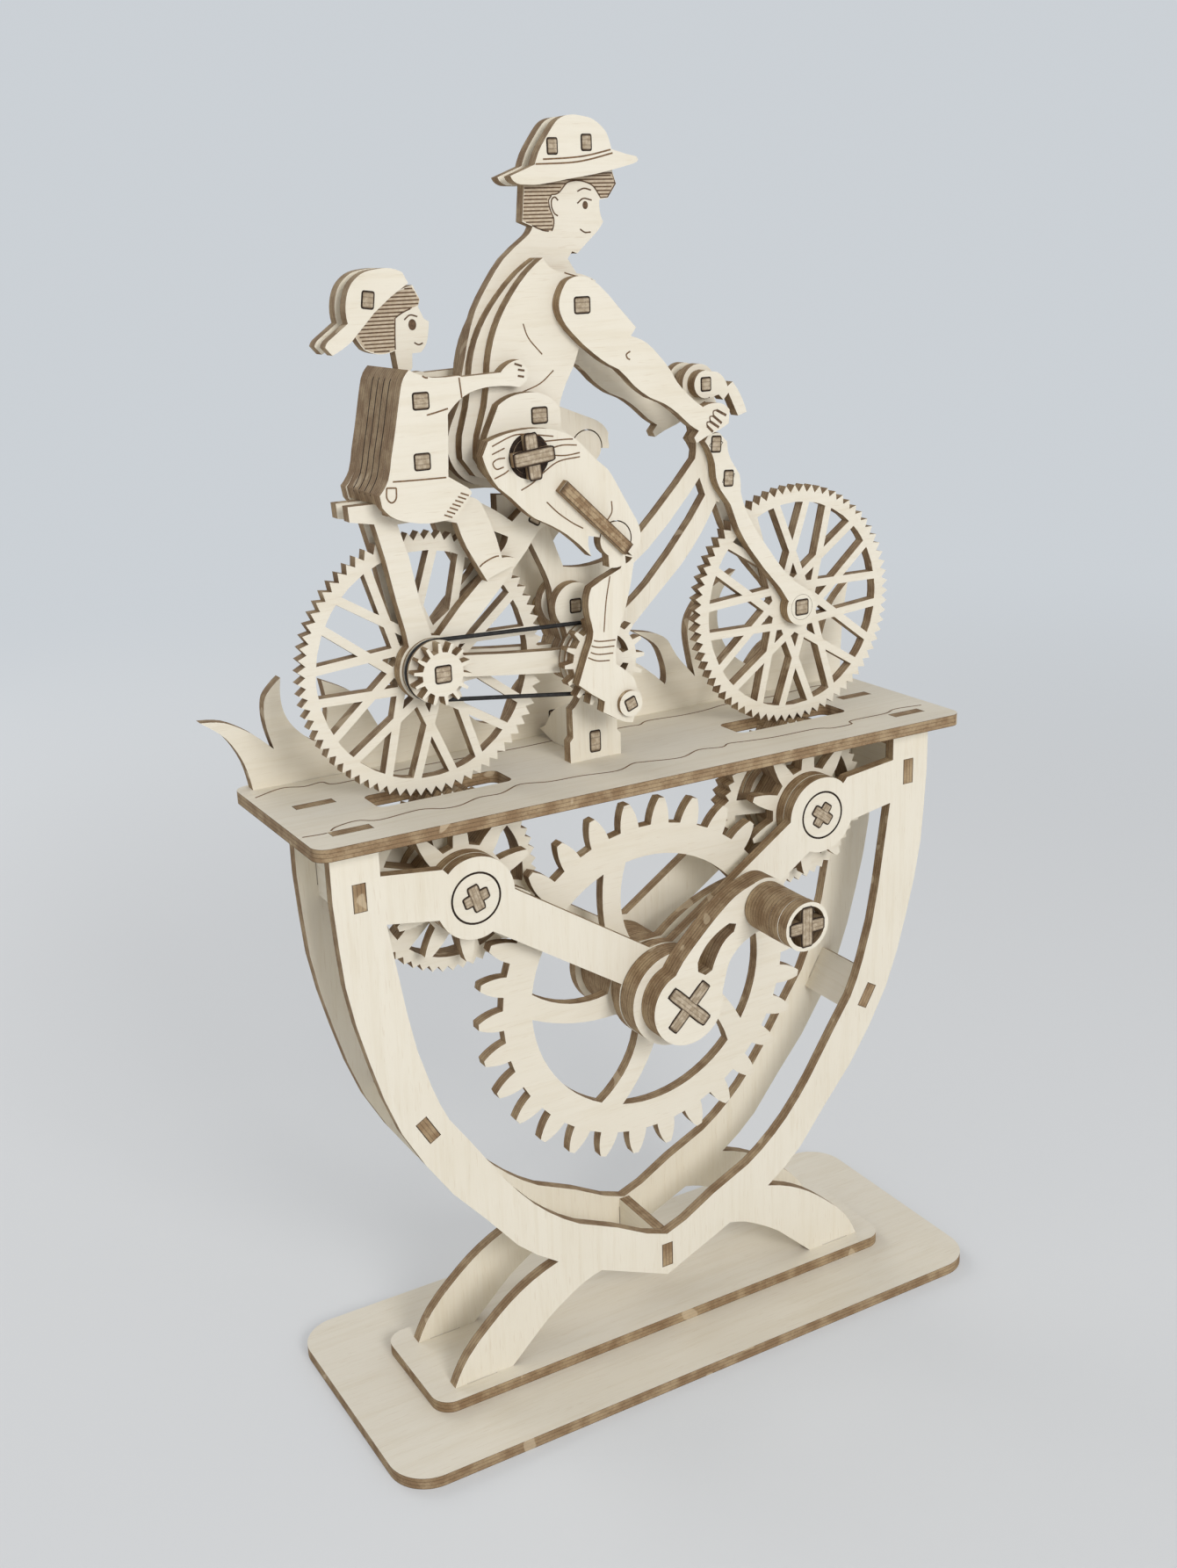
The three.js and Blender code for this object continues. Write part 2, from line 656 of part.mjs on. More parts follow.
function crankShaft() {
  const washerFront = -frameFront + runningGap;
  return joined([
    crossSolid(shaftBarLength, shaftBarWidth, collarFront - 2 * ply, frameBack, shaftCrossTurn),
    disc([0, 0], collarRadius, collarFront, collarBack, 28),
    disc([0, 0], hubJournalRadius, collarBack, washerFront, 24),
    disc([0, 0], shaftWasherRadius, washerFront, -2 * ply, 16),
    disc([0, 0], shaftWasherRadius, -ply, frameFront - runningGap, 12),
    disc([0, 0], hubJournalRadius, frameFront - runningGap, frameBack, 24),
  ]);
}

const crankLeftShares = [[-0.98, -0.12], [-0.8, 0.28], [-0.5, 0.73], [-0.15, 1.23], [0.3, 1.68],
  [0.85, 2.18], [1.4, 2.58], [1.95, 2.78]];
const crankRightShares = [[2.1, 1.5], [1.6, 1.3], [1.2, 0.9], [1.03, 0.35], [0.9, -0.17], [0.75, -0.52]];
const commaShares = [[0.27, 0.86], [0.26, 1.1], [0.52, 1.5], [0.9, 1.78], [1.2, 1.91], [1.4, 1.85],
  [1.33, 1.66], [1.08, 1.5], [0.8, 1.1], [0.68, 0.8], [0.48, 0.72]];
const gripPlace = [armReach * Math.cos(degrees(armAngle)), armReach * Math.sin(degrees(armAngle))];

function crankArm(front, back) {
  const body = [
    ...curveThrough(crankRightShares.map(onCrank), 2),
    ...curveThrough(crankLeftShares.map(onCrank), 2),
  ];
  const comma = curveThrough([...commaShares, commaShares[0]].map(onCrank)).slice(0, -1);
  const parts = [
    slab(body, front, back),
    disc([0, 0], armHubRadius, front, back, 20),
    disc(gripPlace, armEndRadius, front, back, 16),
  ];
  return cut(joined(parts), [
    slab(comma, front - overrun, back + overrun),
    crossHole(shaftBarLength, shaftBarWidth, front, back, shaftCrossTurn),
    crossHole(gripPinBar, gripPinWidth, front, back, 0, gripPlace),
  ]);
}

const gripBack = collarFront - 2 * ply - runningGap;
const gripFront = gripBack - gripLength;

function gripPin() {
  return crossSolid(gripPinBar, gripPinWidth, gripFront, collarFront);
}

// The grip is a pile of rings, loose on its pin
function crankGrip() {
  const points = [[gripRadius, 0], [gripRadius, gripLength], [gripBore, gripLength], [gripBore, 0],
    [gripRadius, 0]];
  const geometry = new THREE.LatheGeometry(points.map(([x, y]) => new THREE.Vector2(x, y)), 20);
  geometry.translate(0, gripFront, 0);
  return solidOf(geometry);
}

// Bicycle wheels: pairs of spokes, each line passing the centre at the tangent radius
function bicycleWheel(spokePhase) {
  const outline = toothed(wheelTeeth, wheelRootRadius, wheelTipRadius, fineToothShares);
  const parts = [
    slab(outline, ply, 2 * ply, [circle([0, 0], wheelRimInner, 40)]),
    disc([0, 0], wheelHubRadius, ply, 2 * ply, 16),
  ];
  const normalTurn = Math.acos(spokeTangentRadius / spokeCrossing);
  const rimTurn = Math.acos(spokeTangentRadius / wheelRimInner) - normalTurn;
  const rimMiddle = (wheelRimInner + wheelRootRadius) / 2;
  for (let pair = 0; pair < spokePairs; pair += 1) {
    for (const side of [-1, 1]) {
      const centre = degrees(spokePhase + 360 * pair / spokePairs);
      const foot = centre - side * normalTurn;
      const rim = centre + side * rimTurn;
      parts.push(slab(bar([spokeTangentRadius * Math.cos(foot), spokeTangentRadius * Math.sin(foot)],
        [rimMiddle * Math.cos(rim), rimMiddle * Math.sin(rim)], spokeWidth), ply, 2 * ply));
    }
  }
  return joined(parts);
}

const wheelAxleHole = () => slab(rectangle([0, 0], wheelAxleSquare + 2 * slotClearance,
  wheelAxleSquare + 2 * slotClearance), ply - overrun, 2 * ply + overrun);

const stayFront = -runningGap;
const stayBack = ply - runningGap;
const farStayFront = 2 * ply + runningGap;
const farStayBack = 3 * ply + runningGap;
const pulleyBack = stayFront - runningGap;
const pulleyFront = pulleyBack - ply;
const sprocketFront = pulleyFront - ply;

// Square axle with round ends that run in the two plates beside the wheel
function wheelAxleParts() {
  return [
    slab(rectangle([0, 0], wheelAxleSquare, wheelAxleSquare), stayBack, farStayFront),
    disc([0, 0], wheelJournalRadius, stayFront, stayBack, 16),
    disc([0, 0], wheelJournalRadius, farStayFront, farStayBack, 16),
  ];
}

// A band pulley: two flanges with a groove between them
function pulleyParts(radius) {
  const land = (ply - bandWidth - 2 * slotClearance) / 2;
  return [
    disc([0, 0], radius, pulleyFront, pulleyFront + land, 14),
    disc([0, 0], radius - pulleyGroove, pulleyFront, pulleyBack, 14),
    disc([0, 0], radius, pulleyBack - land, pulleyBack, 14),
  ];
}

function rearAxle() {
  const teeth = toothed(sprocketTeeth, sprocketRootRadius, sprocketTipRadius, sprocketToothShares);
  return joined([
    ...wheelAxleParts(),
    disc([0, 0], wheelJournalRadius, pulleyBack, stayFront, 16),
    ...pulleyParts(pulleyRadius),
    slab(teeth, sprocketFront, pulleyFront),
  ]);
}

const pedalOffset = onSheet(pedalShare).map((value, axis) => value - onSheet(bottomBracketShare)[axis]);
const pedalRadius = Math.hypot(...pedalOffset);
const pedalAngle = THREE.MathUtils.radToDeg(Math.atan2(pedalOffset[1], pedalOffset[0]));
const legInner = legStepShare * ply;
const legOuter = legInner + ply;
const farArmFront = farStayBack + runningGap;
const farArmBack = middle + legInner - runningGap;

function chainring() {
  const teeth = toothed(chainringTeeth, chainringRootRadius, chainringTipRadius, sprocketToothShares);
  const windows = [];
  for (let spoke = 0; spoke < chainringSpokes; spoke += 1) {
    const from = 360 * spoke / chainringSpokes + chainringWindowTurn;
    const to = from + chainringWindowSweep;
    windows.push([
      ...arc([0, 0], chainringRootRadius - spokeWidth, from, to, 2),
      ...arc([0, 0], sprocketRootRadius, to, from, 1),
    ]);
  }
  const pedalArm = [
    slab(bar([0, 0], pedalOffset, pedalBossRadius), sprocketFront, pulleyFront),
    disc(pedalOffset, pedalBossRadius, sprocketFront, pulleyFront, 16),
  ];
  const farArm = [
    slab(bar([0, 0], pedalOffset.map((value) => -value), 2 * pedalBossRadius), farArmFront, farArmBack),
    disc(pedalOffset.map((value) => -value), pedalBossRadius, farArmFront, farArmBack, 16),
    disc([0, 0], sprocketRootRadius, farArmFront, farArmBack, 12),
  ];
  return joined([
    slab(teeth, sprocketFront, pulleyFront, windows),
    ...pedalArm,
    ...pulleyParts(chainringPulleyRadius),
    disc([0, 0], wheelJournalRadius, pulleyBack, farArmFront, 16),
    ...farArm,
  ]);
}

// Rubber band round the two pulleys
function driveBand() {
  const rear = onWorld(rearAxleShare);
  const chain = onWorld(bottomBracketShare);
  const groove = slotClearance - pulleyGroove;
  const loop = (extra) => {
    const small = pulleyRadius + groove + extra;
    const large = chainringPulleyRadius + groove + extra;
    const distance = Math.hypot(chain[0] - rear[0], chain[1] - rear[1]);
    const tilt = THREE.MathUtils.radToDeg(Math.atan2(chain[1] - rear[1], chain[0] - rear[0]));
    const spread = THREE.MathUtils.radToDeg(Math.acos((large - small) / distance));
    return [
      ...arc(rear, small, tilt + 180 - spread, tilt + 180 + spread, 8),
      ...arc(chain, large, tilt - 180 + spread, tilt + 180 - spread, 9),
    ];
  };
  const centre = (pulleyFront + pulleyBack) / 2;
  return slab(loop(bandThickness), centre - bandWidth / 2, centre + bandWidth / 2, [loop(0)]);
}

// Bicycle plates
const rearStayShares = [[-6.88, 22.35], [-6.86, 22.02], [-6.3, 21.92], [-6.1, 21.14], [-5.91, 20.2],
  [-5.73, 19.45], [-5.6, 18.6], [-4.95, 18.6], [-5.16, 19.48], [-5.35, 20.14], [-5.54, 21.14],
    [-5.76, 21.86], [-4.2, 21.9], [-3.9, 21.8], [-3.7, 21.6], [-3.23, 21.36], [-2.9, 21.2], [-2.8, 21.5],
    [-3.48, 21.98], [-3.82, 22.17], [-4.2, 22.35]];
const seatStayShares = [[-3.13, 21.14], [-3.35, 20.9], [-3.76, 20.42], [-4.35, 19.89], [-4.91, 19.29],
  [-5.3, 18.8], [-4.85, 18.4], [-4.32, 19.17], [-3.85, 19.64], [-3.23, 20.26], [-2.6, 20.95], [-2.29, 21.33],
  [-2.07, 21.45], [-2.1, 21.9], [-2.5, 22], [-2.98, 21.6]];
const chainStayShares = [[-5.1, 18.25], [-4.23, 18.22], [-3.23, 18.1], [-2.16, 17.98], [-1.1, 17.9],
  [-1, 18.45], [-2.1, 18.51], [-3.23, 18.61], [-4.29, 18.73], [-5.1, 18.8]];
const lobeNeckShares = [[-1.6, 18.6], [-1.75, 19.2], [-1.4, 19.9], [-0.95, 19.3], [-0.6, 18.8]];

function stayPlate(front) {
  const back = front + ply;
  const rear = onSheet(rearAxleShare);
  const bracket = onSheet(bottomBracketShare);
  const lobe = onSheet(lobeShare);
  const outlines = [rearStayShares, seatStayShares, chainStayShares, lobeNeckShares];
  const parts = outlines.map((outline) => slab(outline.map(onSheet), front, back));
  parts.push(disc(rear, stayHubRadius, front, back));
  parts.push(disc(bracket, bottomBracketRadius, front, back, 18));
  parts.push(disc(lobe, lobeRadius, front, back, 16));
  const pin = pinSquare + 2 * slotClearance;
  return cut(joined(parts), [
    cylinderHole(rear, wheelJournalRadius + journalClearance, front, back, 16),
    cylinderHole(bracket, wheelJournalRadius + journalClearance, front, back, 16),
    slab(rectangle(lobe, pin, pin), front - overrun, back + overrun),
    slab(rectangle(onSheet(seatPinShare), pin, pin, seatPinTurn), front - overrun, back + overrun),
  ]);
}

const seatTubeShares = [[-1.55, 18.3], [-0.6, 18.4], [-1.05, 19.3], [-1.43, 19.9], [-1.52, 20.4],
  [-1.88, 21.35], [-2.2, 22.1], [-3.16, 22.2], [-3.16, 21.7], [-2.9, 21.5], [-2.6, 21.5], [-2.34, 21.05],
  [-2, 20.33], [-1.84, 19.88], [-1.8, 19.3]];
const topTubeShares = [[2.33, 22.64], [1.7, 21.95], [1.07, 21.32], [0.6, 20.88], [-0.1, 20.45], [-0.9, 20.3],
  [-1.8, 20.4], [-1.7, 19.75], [-0.8, 19.65], [0, 19.85], [0.41, 20.21], [0.82, 20.5], [1.44, 21.07],
  [2.08, 21.75], [2.58, 22.35]];
const downTubeShares = [[2.61, 21.78], [2.08, 21.06], [1.44, 20.32], [0.82, 19.68], [0.18, 19.17],
  [-0.5, 18.75], [-1.1, 18.55], [-0.8, 17.8], [-0.2, 18.15], [0.31, 18.67], [0.99, 19.3], [1.75, 19.99],
  [2.39, 20.75], [2.89, 21.54]];
const headShares = [[2.25, 22.85], [2.05, 23.6], [1.95, 24.2], [2.35, 24.25], [2.45, 23.7], [2.65, 23.1],
  [3, 22.9], [3.2, 22.25], [3.15, 21.7], [2.89, 21.4], [2.5, 21.6], [2.2, 22.4]];

function frameTubes() {
  const front = ply;
  const back = 2 * ply;
  const bracket = onSheet(bottomBracketShare);
  const stem = onSheet(handlebarShare);
  const outlines = [seatTubeShares, topTubeShares, downTubeShares, headShares];
  const parts = outlines.map((outline) => slab(outline.map(onSheet), front, back));
  parts.push(disc(bracket, bottomBracketRadius, front, back, 18));
  parts.push(disc(stem, stemRadius, front, back, 14));
  const pins = [lobeShare, seatPinShare, headPinShare, forkPinShare];
  const turns = [0, seatPinTurn, headPinTurn, forkPinTurn];
  pins.forEach((share, index) => {
    parts.push(slab(rectangle(onSheet(share), pinSquare, pinSquare, turns[index]), stayFront, farStayBack));
  });
  return cut(joined(parts), [
    cylinderHole(bracket, wheelJournalRadius + journalClearance, front, back, 16),
    cylinderHole(stem, handlebarPinRadius + slotClearance, front, back, 8),
  ]);
}

const forkShares = [[2.28, 22.94], [2.56, 22.38], [2.59, 22.06], [2.72, 21.75], [3, 21.38], [3.25, 20.75],
  [3.56, 20.25], [4, 19.69], [4.5, 19.13], [4.8, 18.7], [5.3, 18.8], [5.34, 19], [4.94, 19.25],
    [4.38, 19.84], [3.88, 20.5], [3.56, 21], [3.31, 21.63], [3.28, 22.06], [3.13, 22.28], [2.97, 22.56],
    [2.92, 22.88], [2.69, 23.11], [2.4, 23.1]];

function forkPlate(front) {
  const back = front + ply;
  const axle = onSheet(frontAxleShare);
  const pin = pinSquare + 2 * slotClearance;
  const body = slab(forkShares.map(onSheet), front, back);
  return cut(body.add(disc(axle, forkEndRadius, front, back)), [
    cylinderHole(axle, wheelJournalRadius + journalClearance, front, back, 16),
    slab(rectangle(onSheet(headPinShare), pin, pin, headPinTurn), front - overrun, back + overrun),
    slab(rectangle(onSheet(forkPinShare), pin, pin, forkPinTurn), front - overrun, back + overrun),
  ]);
}

const leverShares = [[2.25, 23.97], [2.5, 24.03], [2.63, 23.9], [2.78, 24.05], [3.05, 23.5], [3.3, 23.57],
  [3.05, 24.1], [2.9, 24.3], [2.75, 24.2], [2.6, 24.45], [2.45, 24.55], [2.1, 24.6]];

function handlebar() {
  const centre = onSheet(handlebarShare);
  const lever = leverShares.map(onSheet);
  const parts = [
    disc(centre, handlebarPinRadius, 0, 3 * ply, 8),
    disc(centre, handlebarRadius, 0, ply - runningGap, 16),
    disc(centre, handlebarRadius, 2 * ply + runningGap, 3 * ply, 16),
  ];
  for (const front of [-ply, 3 * ply]) {
    parts.push(disc(centre, stemRadius, front, front + ply, 12));
    parts.push(slab(lever, front, front + ply));
  }
  return joined(parts);
}

// Rider. Layers are counted in sheets from the middle plate; a side of -1 is the front
function layer(side, from, to) {
  const near = middle + side * from;
  const far = middle + side * to;
  return side < 0 ? [far, near] : [near, far];
}

const riderHeadShares = [[-2.1, 27.7], [-1.95, 27.9], [-2.2, 28], [-2.1, 29], [0.1, 29.05], [0.2, 28.75],
  [-0.02, 28.45], [-0.24, 28.42], [-0.24, 28.2], [-0.16, 27.95], [-0.32, 27.75], [-0.5, 27.6], [-0.85, 27.3],
  [-0.98, 27.35], [-1.1, 27.2], [-0.9, 26.9]];
const riderBackShares = [[-2.1, 27.7], [-2.7, 27.25], [-3.1, 26.75], [-3.45, 26.2], [-3.68, 25.55],
  [-3.85, 24.9], [-3.95, 24.3], [-4.2, 23.8], [-4.3, 23.3], [-4.2, 22.95], [-3.9, 22.6], [-3.3, 22.4],
  [-2.6, 22.45], [-2.1, 22.7]];
const riderFrontShares = [[-2.1, 22.7], [-1.6, 23.2], [-1.6, 24], [-1.4, 24.6], [-1.1, 25.2], [-0.75, 25.9],
  [-0.65, 26.4], [-0.9, 26.9]];

function riderCore() {
  const outline = [
    ...riderHeadShares.map(onSheet),
    ...curveThrough(riderFrontShares.map(onSheet)).reverse().slice(1),
    ...curveThrough(riderBackShares.map(onSheet)).reverse().slice(1, -1),
  ];
  const body = slab(outline, ply, 2 * ply);
  return cut(body, [hipHole(ply, 2 * ply), ...hatPins(ply, 2 * ply, slotClearance)]);
}

const torsoBackShares = [[-2.06, 27.25], [-2.45, 26.95], [-2.85, 26.5], [-3.15, 26.05], [-3.35, 25.6],
  [-3.47, 25.1], [-3.52, 24.6], [-3.6, 24.2], [-3.8, 23.6], [-3.85, 23.1], [-3.6, 22.7], [-3, 22.55],
  [-2.4, 22.6], [-2, 22.9]];
const torsoFrontShares = [[-2, 22.9], [-1.75, 23.4], [-1.8, 24], [-1.6, 24.56], [-1.38, 24.94],
  [-1.22, 25.34], [-0.95, 25.9], [-0.75, 26.72], [-1.13, 26.88], [-1.5, 26.93], [-1.81, 27],
  [-2.06, 27.25]];

// Each body plate is grown at the back by the given share of a square
function torsoPlate(side, from, backShare) {
  const grown = torsoBackShares.map(([x, z], index) => {
    const swell = Math.sin(Math.PI * index / (torsoBackShares.length - 1));
    return onSheet([x - backShare * swell, z]);
  });
  const outline = [
    ...curveThrough(grown),
    ...curveThrough(torsoFrontShares.map(onSheet)).slice(1, -1),
  ];
  const [front, back] = layer(side, from, from + ply);
  return cut(slab(outline, front, back), [hipHole(front, back)]);
}

const waistShares = [[-3.84, 23.44], [-3.9, 22.95], [-3.65, 22.65], [-3.15, 22.5], [-2.45, 22.6],
  [-1.85, 22.9], [-1.34, 23.19], [-1.74, 23.5], [-1.93, 23.63], [-1.93, 24.06], [-2.09, 24.25],
  [-2.4, 24.43], [-2.78, 24.47], [-3.15, 24.41], [-3.46, 24.25], [-3.71, 23.75]];

function waistPlate(side) {
  const outline = curveThrough([...waistShares, waistShares[0]].map(onSheet)).slice(0, -1);
  const [front, back] = layer(side, 2.5 * ply, 3.5 * ply);
  return cut(slab(outline, front, back), [hipHole(front, back)]);
}

function hipHole(front, back) {
  return cylinderHole(onSheet(hipShare), hipRodRadius + slotClearance, front, back, 10);
}

// The hip axle passes through the body; each thigh turns on a round journal behind a cross-shaped end
function hipAxle() {
  const centre = onSheet(hipShare);
  const ends = [-1, 1].flatMap((side) => {
    const [front, back] = layer(side, 3.5 * ply, legOuter + runningGap);
    const [headFront, headBack] = layer(side, legOuter + runningGap, legOuter + runningGap + ply / 2);
    return [
      disc(centre, hipJournalRadius, front, back, 16),
      crossSolid(hipBarLength, hipBarWidth, headFront, headBack, hipCrossTurn, centre),
    ];
  });
  const [rodFront] = layer(-1, 0, legInner);
  const [, rodBack] = layer(1, 0, legInner);
  return joined([disc(centre, hipRodRadius, rodFront, rodBack, 10), ...ends]);
}

const armShares = [
  [[-1.4, 26.84], [-1.65, 26.75], [-1.81, 26.5], [-1.87, 26.25], [-1.78, 25.94], [-1.53, 25.63],
    [-1.03, 25.19], [-0.65, 24.93], [-0.4, 24.81], [-0.02, 24.44], [0.41, 24.13], [0.79, 23.97],
    [1.16, 23.72], [1.48, 23.44], [1.73, 23.28]],
  [[1.6, 23.13], [1.66, 23]],
  [[1.94, 23.13], [2.29, 23.25], [2.57, 23.38], [2.6, 23.69], [2.41, 23.84], [2.16, 23.88], [1.85, 23.81],
    [1.48, 24.09], [1.16, 24.41], [0.98, 24.69], [0.66, 25.06], [0.35, 25.34], [-0.06, 25.51]],
  [[0.08, 25.69], [-0.4, 26.19], [-0.84, 26.63], [-1.15, 26.81]],
];

const runsOnSheet = (runs) => runs.flatMap((run) => {
  const points = run.map(onSheet);
  return run.length > 2 ? curveThrough(points) : points;
});

function riderArm(side) {
  const [front, back] = layer(side, 2.5 * ply, 3.5 * ply);
  return slab(runsOnSheet(armShares), front, back);
}

const hatBrimShares = [[-2.6, 28.93], [-2.45, 28.78], [-1.9, 28.75], [-1.2, 28.85], [-0.6, 28.93],
  [-0.1, 29.02], [0.48, 29.15], [0.6, 29.22], [0.56, 29.3]];
const hatCrownShares = [[0.56, 29.3], [0.3, 29.35], [-0.07, 29.45]];
const hatDomeShares = [[-0.07, 29.45], [-0.2, 29.8], [-0.5, 30.05], [-0.8, 30.13], [-1.1, 30.15],
  [-1.4, 30.05], [-1.7, 29.7], [-1.9, 29.4], [-2, 29.15]];
const hatTenonShares = [[-1.56, 29.53], [-0.7, 29.61]];

const hatPins = (front, back, clearance) => hatTenonShares.map((share) => slab(rectangle(onSheet(share),
  hatTenonWidth + 2 * clearance, hatTenonHeight + 2 * clearance), front - overrun, back + overrun));

function hatPlate(side) {
  const outline = [
    ...curveThrough(hatBrimShares.map(onSheet), 2),
    ...hatCrownShares.slice(1).map(onSheet),
    ...curveThrough(hatDomeShares.map(onSheet), 2).slice(1),
  ];
  const [front, back] = layer(side, 0.5 * ply, 1.5 * ply);
  return slab(outline, front, back);
}

// Legs. Outlines are drawn for the front leg; a thigh is placed at the hip and a shin at the knee
const thighShares = [[-4.1, 23.25], [-3.95, 23.55], [-3.5, 23.68], [-2.95, 23.74], [-2.45, 23.7],
  [-2.05, 23.58], [-1.75, 23.4], [-1.5, 23.15], [-1.3, 22.95], [-1, 22.7], [-0.8, 22.4], [-0.6, 22.05],
  [-0.4, 21.7], [-0.28, 21.5], [-0.17, 21.2], [-0.18, 20.95], [-0.3, 20.82], [-0.42, 20.75]];
const thighUnderShares = [[-1.25, 20.7], [-1.45, 20.75], [-1.6, 20.9], [-1.8, 21.1], [-2.1, 21.35],
  [-2.5, 21.6], [-2.9, 21.8], [-3.2, 22.05], [-3.45, 22.3], [-3.75, 22.55], [-3.95, 22.85], [-4.1, 23.25]];
const shinBackShares = [[-1.14, 20.9], [-1.4, 20.5], [-1.5, 20.1], [-1.6, 19.8], [-1.58, 19.4],
  [-1.5, 19.05], [-1.55, 18.8], [-1.68, 18.5], [-1.85, 18.05], [-1.93, 17.85]];
const shoeSoleShares = [[-1.93, 17.85], [-1.55, 17.55], [-1.25, 17.35], [-1.3, 17.1], [-1.05, 16.95],
  [-0.75, 16.78], [-0.5, 16.72]];
const shoeTopShares = [[-0.3, 17.3], [-0.45, 17.8], [-0.6, 17.95], [-0.92, 18.2], [-0.92, 18.45],
  [-0.86, 18.85], [-0.73, 19.2], [-0.6, 19.55], [-0.48, 20.05], [-0.36, 20.55], [-0.54, 20.85]];

const relativeTo = (origin) => ([x, z]) => {
  const [x0, z0] = onSheet(origin);
  const [px, pz] = onSheet([x, z]);
  return [px - x0, pz - z0];
};

// The thigh's outline, measured from the hip
const thighOutline = () => [
  ...curveThrough(thighUnderShares.map(relativeTo(hipShare))).slice(0, -1),
  ...curveThrough(thighShares.map(relativeTo(hipShare))),
];

// The opening of the knee's socket, as wide as the shin's neck swings
function kneeOpening(knee) {
  const rest = bearing(kneeShare, pedalShare);
  const neck = THREE.MathUtils.radToDeg(Math.asin((kneeNeckWidth / 2 + runningGap) / kneeRadius));
  const from = rest - kneeFlex - kneeMargin - neck;
  return [knee, ...arc(knee, kneeEyeRadius + overrun, from, rest + kneeMargin + neck, 8)];
}

function thigh(side) {
  const knee = relativeTo(hipShare)(kneeShare);
  const [front, back] = layer(side, legInner, legOuter);
  const plate = slab(thighOutline(), front, back).add(disc(knee, kneeEyeRadius, front, back));
  const shaped = cut(plate, [
    cylinderHole(knee, kneeRadius + runningGap, front, back),
    cylinderHole([0, 0], hipJournalRadius + runningGap, front, back, 16),
    slab(kneeOpening(knee), front - overrun, back + overrun),
  ]);
  const along = (share) => [knee[0] * share, knee[1] * share];
  const [barFront, barBack] = layer(side, legOuter - overrun, legOuter + kneeBarProud + runningGap);
  const [overFront, overBack] = layer(side, legOuter + runningGap, legOuter + kneeBarProud + runningGap);
  return joined([
    shaped,
    slab(bar(along(kneeBarStartShare), along(kneeBarRootShare), kneeBarWidth), barFront, barBack),
    slab(bar(along(kneeBarStartShare), along(kneeBarEndShare), kneeBarWidth), overFront, overBack),
  ]);
}

// The shin is cut clear of the thigh, as it lies when the knee is bent all the way
function shin(side) {
  const local = relativeTo(kneeShare);
  const pedal = local(pedalShare);
  const knee = relativeTo(hipShare)(kneeShare);
  const outline = [
    ...curveThrough(shinBackShares.map(local)),
    ...curveThrough(shoeSoleShares.map(local)).slice(1),
    ...curveThrough(shoeTopShares.map(local)),
  ];
  const [front, back] = layer(side, legInner, legOuter);
  const [tenonFront, tenonBack] = layer(side, legOuter - overrun, legOuter + runningGap);
  const thighFromKnee = thighOutline().map(([x, z]) => [x - knee[0], z - knee[1]]);
  const bentThigh = turned(thighFromKnee, kneeFlex + kneeMargin);
  const eye = cylinderHole([0, 0], kneeEyeRadius + runningGap, front, back);
  const neckEnd = turned([[kneeEyeRadius + kneeNeckWidth / 2, 0]], bearing(kneeShare, pedalShare))[0];
  const neck = slab(bar([0, 0], neckEnd, kneeNeckWidth), front, back);
  const body = cut(slab(outline, front, back), [eye]).add(neck);
  return joined([
    cut(body, [cut(slab(bentThigh, front - overrun, back + overrun), [eye])]),
    disc([0, 0], kneeRadius, front, back),
    disc(pedal, pedalBossRadius + spokeWidth / 2, front, back),
    slab(rectangle(pedal, pinSquare, pinSquare, pedalPinTurn), tenonFront, tenonBack),
  ]);
}

const spanOf = (from, to) => relativeTo(from)(to);
const distance = (from, to) => Math.hypot(...spanOf(from, to));
const bearing = (from, to) => THREE.MathUtils.radToDeg(Math.atan2(spanOf(from, to)[1], spanOf(from, to)[0]));

// How far the far leg is turned from the drawn one, with its pedal on the other side of the bracket
function farLegTurns() {
  const thighLength = distance(hipShare, kneeShare);
  const shinLength = distance(kneeShare, pedalShare);
  const farPedalShare = bottomBracketShare.map((value, axis) => 2 * value - pedalShare[axis]);
  const reach = distance(hipShare, farPedalShare);
  const corner = (near, other, opposite) => THREE.MathUtils.radToDeg(
    Math.acos((near ** 2 + other ** 2 - opposite ** 2) / (2 * near * other)));
  const thighBearing = bearing(hipShare, farPedalShare) + corner(thighLength, reach, shinLength);
  const shinBearing = thighBearing - 180 + corner(thighLength, shinLength, reach);
  const hipTurn = thighBearing - bearing(hipShare, kneeShare);
  const kneeTurn = shinBearing - bearing(kneeShare, pedalShare) - hipTurn;
  return [hipTurn, kneeTurn];
}

function leg(side, prefix, hipTurn, kneeTurn) {
  const hip = onSheet(hipShare);
  const knee = relativeTo(hipShare)(kneeShare);
  const hipGroup = groupAt(hip[0], 0, hip[1], hipTurn);
  const kneeGroup = groupAt(knee[0], 0, knee[1], kneeTurn);
  hipGroup.add(piece(`${prefix}_thigh`, thigh(side), figureFinish));
  kneeGroup.add(piece(`${prefix}_shin`, shin(side), figureFinish));
  hipGroup.add(kneeGroup);
  return hipGroup;
}

